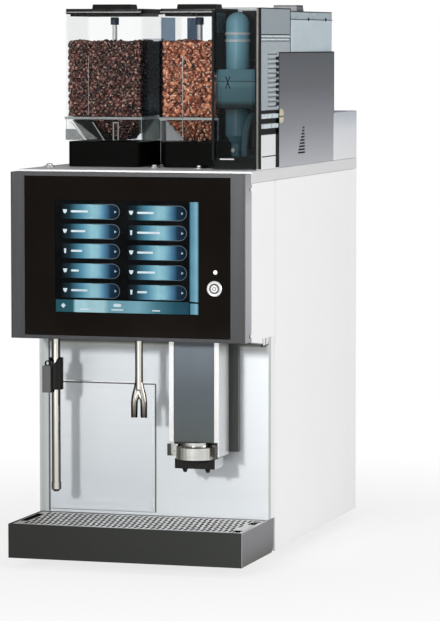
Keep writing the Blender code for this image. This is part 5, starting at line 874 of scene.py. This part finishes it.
def make_beans(side, material, core, size):
    """Fill a hopper with beans against its walls and on top, around a core painted dark as shade."""
    x, y, _ = span(side + "_hopper")
    x0, x1, y0, y1 = x[0] + 4.8, x[1] - 4.8, y[0] + 4.8, y[1] - 4.8
    points, faces, tones, creases = [], [], [], []
    rod_x = (x0 + x1) / 2

    def drop(place, box, facing):
        """One bean, turned at random and kept inside a box."""
        half = size * random.uniform(0.86, 1.12)
        turn = Matrix.Rotation(random.uniform(0, 2 * math.pi), 3, "Z")
        lean = Matrix.Rotation(random.gauss(0, 0.42), 3, "X")
        lean = lean @ Matrix.Rotation(random.gauss(0, 0.42), 3, "Y")
        flip = Matrix.Rotation(math.pi if random.random() < 0.42 else 0.0, 3, "X")
        whole = Vector(facing).to_track_quat("Z", "Y").to_matrix() @ lean @ turn @ flip
        first, tone = len(points), random.random() ** 1.3
        for p in BEAN_POINTS:
            q = whole @ (Vector(p) * half)
            points.append([min(max(place[i] + q[i], box[2 * i]), box[2 * i + 1]) for i in range(3)])
        faces.extend(tuple(first + i for i in face) for face in BEAN_FACES)
        tones.extend([tone] * len(BEAN_POINTS))
        creases.extend(BEAN_CREASE)

    def wall(box, facing):
        """Two layers of beans behind one wall of a box."""
        axis = 0 if facing[0] else 1
        sign = facing[axis]
        face = box[2 * axis + (sign > 0)]
        start, end = box[2:4] if axis == 0 else box[0:2]
        for depth in (2.4, 6.8):
            for row, z in enumerate(steps(box[4] + 2, box[5] - 1, size * 1.12)):
                for u in steps(start + 2 + (row % 2) * size * 0.9, end - 1, size * 1.75):
                    place = u + random.uniform(-1.3, 1.3)
                    level = z + random.uniform(-1.2, 1.2)
                    inward = face - sign * (depth + random.uniform(-0.5, 1.2))
                    drop((inward, place, level) if axis == 0 else (place, inward, level), box, facing)

    for facing in ((0, -1, 0), (1, 0, 0), (-1, 0, 0), (0, 1, 0)):
        wall((x0, x1, y0, y1, SHOULDER + 0.4, FILL_TOP), facing)
    mouth = (rod_x - 20, rod_x + 20, -122.0, -70.0)
    free = (x0, x1, y0, y1, NECK, SHOULDER + 3)
    for z in steps(NECK + 4, SHOULDER, size):
        share = (z - NECK) / (SHOULDER - NECK)
        a, b, c, d = (m + (w - m) * share for m, w in zip(mouth, (x0 + 2, x1 - 2, y0 + 2, y1 - 2)))
        for facing, start, end in (((0, -1, -0.7), a, b), ((0, 1, -0.7), a, b),
                                   ((1, 0, -0.7), c, d), ((-1, 0, -0.7), c, d)):
            for u in steps(start + 3, end - 2, size * 1.6):
                place, level = u + random.uniform(-1, 1), z + random.uniform(-1, 1)
                if facing[0]:
                    drop((b - 3 if facing[0] > 0 else a + 3, place, level), free, facing)
                else:
                    drop((place, d - 3 if facing[1] > 0 else c + 3, level), free, facing)
    for y in steps(y0 + 3, y1 - 2, size * 1.2):
        for x in steps(x0 + 3, x1 - 2, size * 1.35):
            if math.hypot(x - rod_x, y - ROD_Y) > 8.0:
                swell = 1.6 * math.sin(x * 0.11 + y * 0.07) + 1.2 * math.sin(y * 0.19 - x * 0.05)
                drop((x + random.uniform(-1.4, 1.4), y + random.uniform(-1.4, 1.4),
                      FILL_TOP - 3.2 + swell + random.uniform(-1.4, 1.6)),
                     (x0, x1, y0, y1, SHOULDER + 0.4, FILL_TOP + 4), (0, 0, 1))
    mesh = bpy.data.meshes.new(side + "_bean_fill")
    mesh.from_pydata([Vector(p) * MM for p in points], [], faces)
    for name, values in (("tone", tones), ("crease", creases)):
        mesh.attributes.new(name, "FLOAT", "POINT").data.foreach_set("value", values)
    mesh.materials.append(material)
    mesh.shade_smooth()
    fill = add_object(side + "_bean_fill", mesh)
    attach(fill, "chassis")
    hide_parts(side + "_beans")
    block = Form()
    block.box((x0 + 7, x1 - 7), (y0 + 7, y1 - 7), (SHOULDER, FILL_TOP - 7))
    low_ring = [(rod_x - 15, -117), (rod_x + 15, -117), (rod_x + 15, -75), (rod_x - 15, -75)]
    high_ring = [(x0 + 9, y0 + 9), (x1 - 9, y0 + 9), (x1 - 9, y1 - 9), (x0 + 9, y1 - 9)]
    block.add([(u, v, NECK) for u, v in low_ring] + [(u, v, SHOULDER + 2) for u, v in high_ring],
              [(0, 1, 2, 3), (4, 5, 6, 7)] + ring_faces(0, 4, 4))
    block.done(side + "_bean_core", core, SLOT[side + "_beans"], bevel=2.0)


make_beans("left", DARK_BEANS, CORE, 4.1)
make_beans("right", PALE_BEANS, CORE_PALE, 4.6)


# Drip grille: staggered short slots in a thin plate

PITCH, COLUMNS, ROWS, MARGIN = 8.3, 38, 5, 5.0
HALF_SLOT, CHAMFER = 1.9, 1.2


def slot_cell(x0, x1, y0, y1, levels):
    """Points and faces of one cell with its slot."""
    outer = [(x0, y0), (x1, y0), (x1, y1), (x0, y1)]
    cx, cy = (x0 + x1) / 2, (y0 + y1) / 2
    a, b, c = HALF_SLOT, (y1 - y0) / 2 - 1.2, CHAMFER
    hole = [(cx - a + c, cy - b), (cx + a - c, cy - b), (cx + a, cy - b + c), (cx + a, cy + b - c),
            (cx + a - c, cy + b), (cx - a + c, cy + b), (cx - a, cy + b - c), (cx - a, cy - b + c)]
    ring = [(0, 1, 5, 4), (1, 6, 5), (1, 2, 7, 6), (2, 8, 7), (2, 3, 9, 8), (3, 10, 9), (3, 0, 11, 10),
            (0, 4, 11)]
    faces = ring + [tuple(12 + i for i in reversed(face)) for face in ring] + ring_faces(4, 16, 8)
    return [(u, v, level) for level in reversed(levels) for u, v in outer + hole], faces


def make_grille():
    """The slotted plate with its solid borders."""
    x, y, z = span("drip_grille")
    y0, y1 = y
    plate = Form()
    first, last = -COLUMNS * PITCH / 2, COLUMNS * PITCH / 2
    depth = (y1 - y0 - 2 * MARGIN) / ROWS
    for row in range(ROWS):
        base = y0 + MARGIN + row * depth
        shift = PITCH / 2 if row % 2 else 0.0
        for cell in range(COLUMNS - row % 2):
            left = first + shift + cell * PITCH
            plate.add(*slot_cell(left, left + PITCH, base, base + depth, z))
        if shift:
            plate.box((first, first + shift), (base, base + depth), z)
            plate.box((last - shift, last), (base, base + depth), z)
    plate.box((first, last), (y0, y0 + MARGIN), z)
    plate.box((first, last), (y1 - MARGIN, y1), z)
    for border, edge, spans in (
        ((x[0], first), (x[0], x[0] + 1.5), ((y0, -292), (-214, y1))),
        ((last, x[1]), (x[1] - 1.5, x[1]), ((y0, -317), (-297, -238), (-217, -213), (-203, y1))),
    ):
        for each in spans:
            plate.box(border, each, z)
        plate.box(edge, y, z)
    whole = plate.done("grille_plate", GRILLE_STEEL, "stainless", "drip_grille", replaces="drip_grille")

    def slot_wall(face):
        """Upright faces inside the plate."""
        inside = within(face.center.x, x[0] + 0.2, x[1] - 0.2) and within(face.center.y, y0 + 0.2, y1 - 0.2)
        return abs(face.normal.z) < 0.5 and inside

    # The slot walls are painted near black as shade.
    coat(whole.data, GRILLE_STEEL, ((BASIN_PAINTED_SHADE, slot_wall),))


make_grille()
# Painted highlights along the tray's right rim and its front right edge.
strips("tray_rim_painted_highlight", TRAY_RIM_PAINTED_HIGHLIGHT, "tray_plastic", ((171.3, 174.8), (-324, -190), (64.4, 64.75)),
    ((174.3, 174.96), (-324.9, -323.7), (16, 64.5)), body="drip_tray")


# Floor, light and camera, in metres

WHITE = (1.0, 1.0, 1.0, 1.0)


def make_floor():
    """Pale floor that is white farther off."""
    mesh = bpy.data.meshes.new("floor")
    corners = ((-40, -40), (40, -40), (40, 40), (-40, 40))
    mesh.from_pydata([(x, y, -0.0005) for x, y in corners], [], [(0, 1, 2, 3)])
    material, tree, shader = new_material("pale floor")
    tree.nodes.remove(shader)
    matt = node(tree, "ShaderNodeBsdfDiffuse", Color=(0.86, 0.86, 0.86, 1.0))
    white = node(tree, "ShaderNodeEmission", Color=WHITE, Strength=1.0)
    place = node(tree, "ShaderNodeTexCoord").outputs["Object"]
    far = node(tree, "ShaderNodeVectorMath", operation="LENGTH", Vector=place).outputs["Value"]
    seen = node(tree, "ShaderNodeLightPath").outputs["Is Camera Ray"]
    share = maths(tree, "MULTIPLY", seen, spread(tree, far, 0.78, 1.0, 0.35, 1.1))
    mix_shaders(tree, share, matt.outputs["BSDF"], white.outputs["Emission"], "Material Output")
    mesh.materials.append(material)
    add_object("floor", mesh)


def make_world():
    """Even pale light, dimmer at some sides, and white where it is seen."""
    world = bpy.data.worlds.new("studio")
    SCENE.world = world
    world.use_nodes = True
    tree = world.node_tree
    ground = tree.nodes["Background"]
    direction = node(tree, "ShaderNodeTexCoord").outputs["Generated"]
    parts = node(tree, "ShaderNodeSeparateXYZ", Vector=direction)
    around = ramp(tree, spread(tree, parts.outputs["Y"], 0.0, 1.0, -1.0, 1.0),
        ((0, 1000), (26, 960), (42, 420, 410, 400), (60, 200, 195, 190), (100, 300, 295, 290)))
    above = ramp(tree, spread(tree, parts.outputs["Z"], 0.0, 1.0, 0.2, 0.9), ((0, 0), (100, 550, 550, 560)))
    feed(tree, ground, Color=blend(tree, 1.0, around, above, "LIGHTEN"), Strength=0.62)
    plain = node(tree, "ShaderNodeBackground", Color=WHITE, Strength=1.0)
    path = node(tree, "ShaderNodeLightPath")
    seen = maths(tree, "MAXIMUM", path.outputs["Is Camera Ray"], path.outputs["Is Transmission Ray"])
    mix_shaders(tree, seen, ground.outputs["Background"], plain.outputs["Background"], "World Output")


def make_lamp(name, place, target, size, power):
    """A square area lamp that points at a target."""
    data = bpy.data.lights.new(name, "AREA")
    data.size, data.energy = size, power
    lamp = add_object(name, data)
    lamp.location = place
    lamp.rotation_euler = (Vector(target) - Vector(place)).to_track_quat("-Z", "Y").to_euler()


make_floor()
make_world()
make_lamp("key", (-0.62, -4.0, 1.2), (0, -0.2, 0.35), 0.28, 72)
make_lamp("fill", (4.2, -0.9, 1.3), (0, 0, 0.4), 2.4, 108)

camera_data = bpy.data.cameras.new("camera")
camera_data.lens, camera_data.sensor_width = 196.2, 36.0
camera = add_object("camera", camera_data)
camera.location = (1.493, -4.865, 0.757)
camera.rotation_euler = (math.radians(90 - 4.56), 0.0, math.radians(16.56))
SCENE.camera = camera
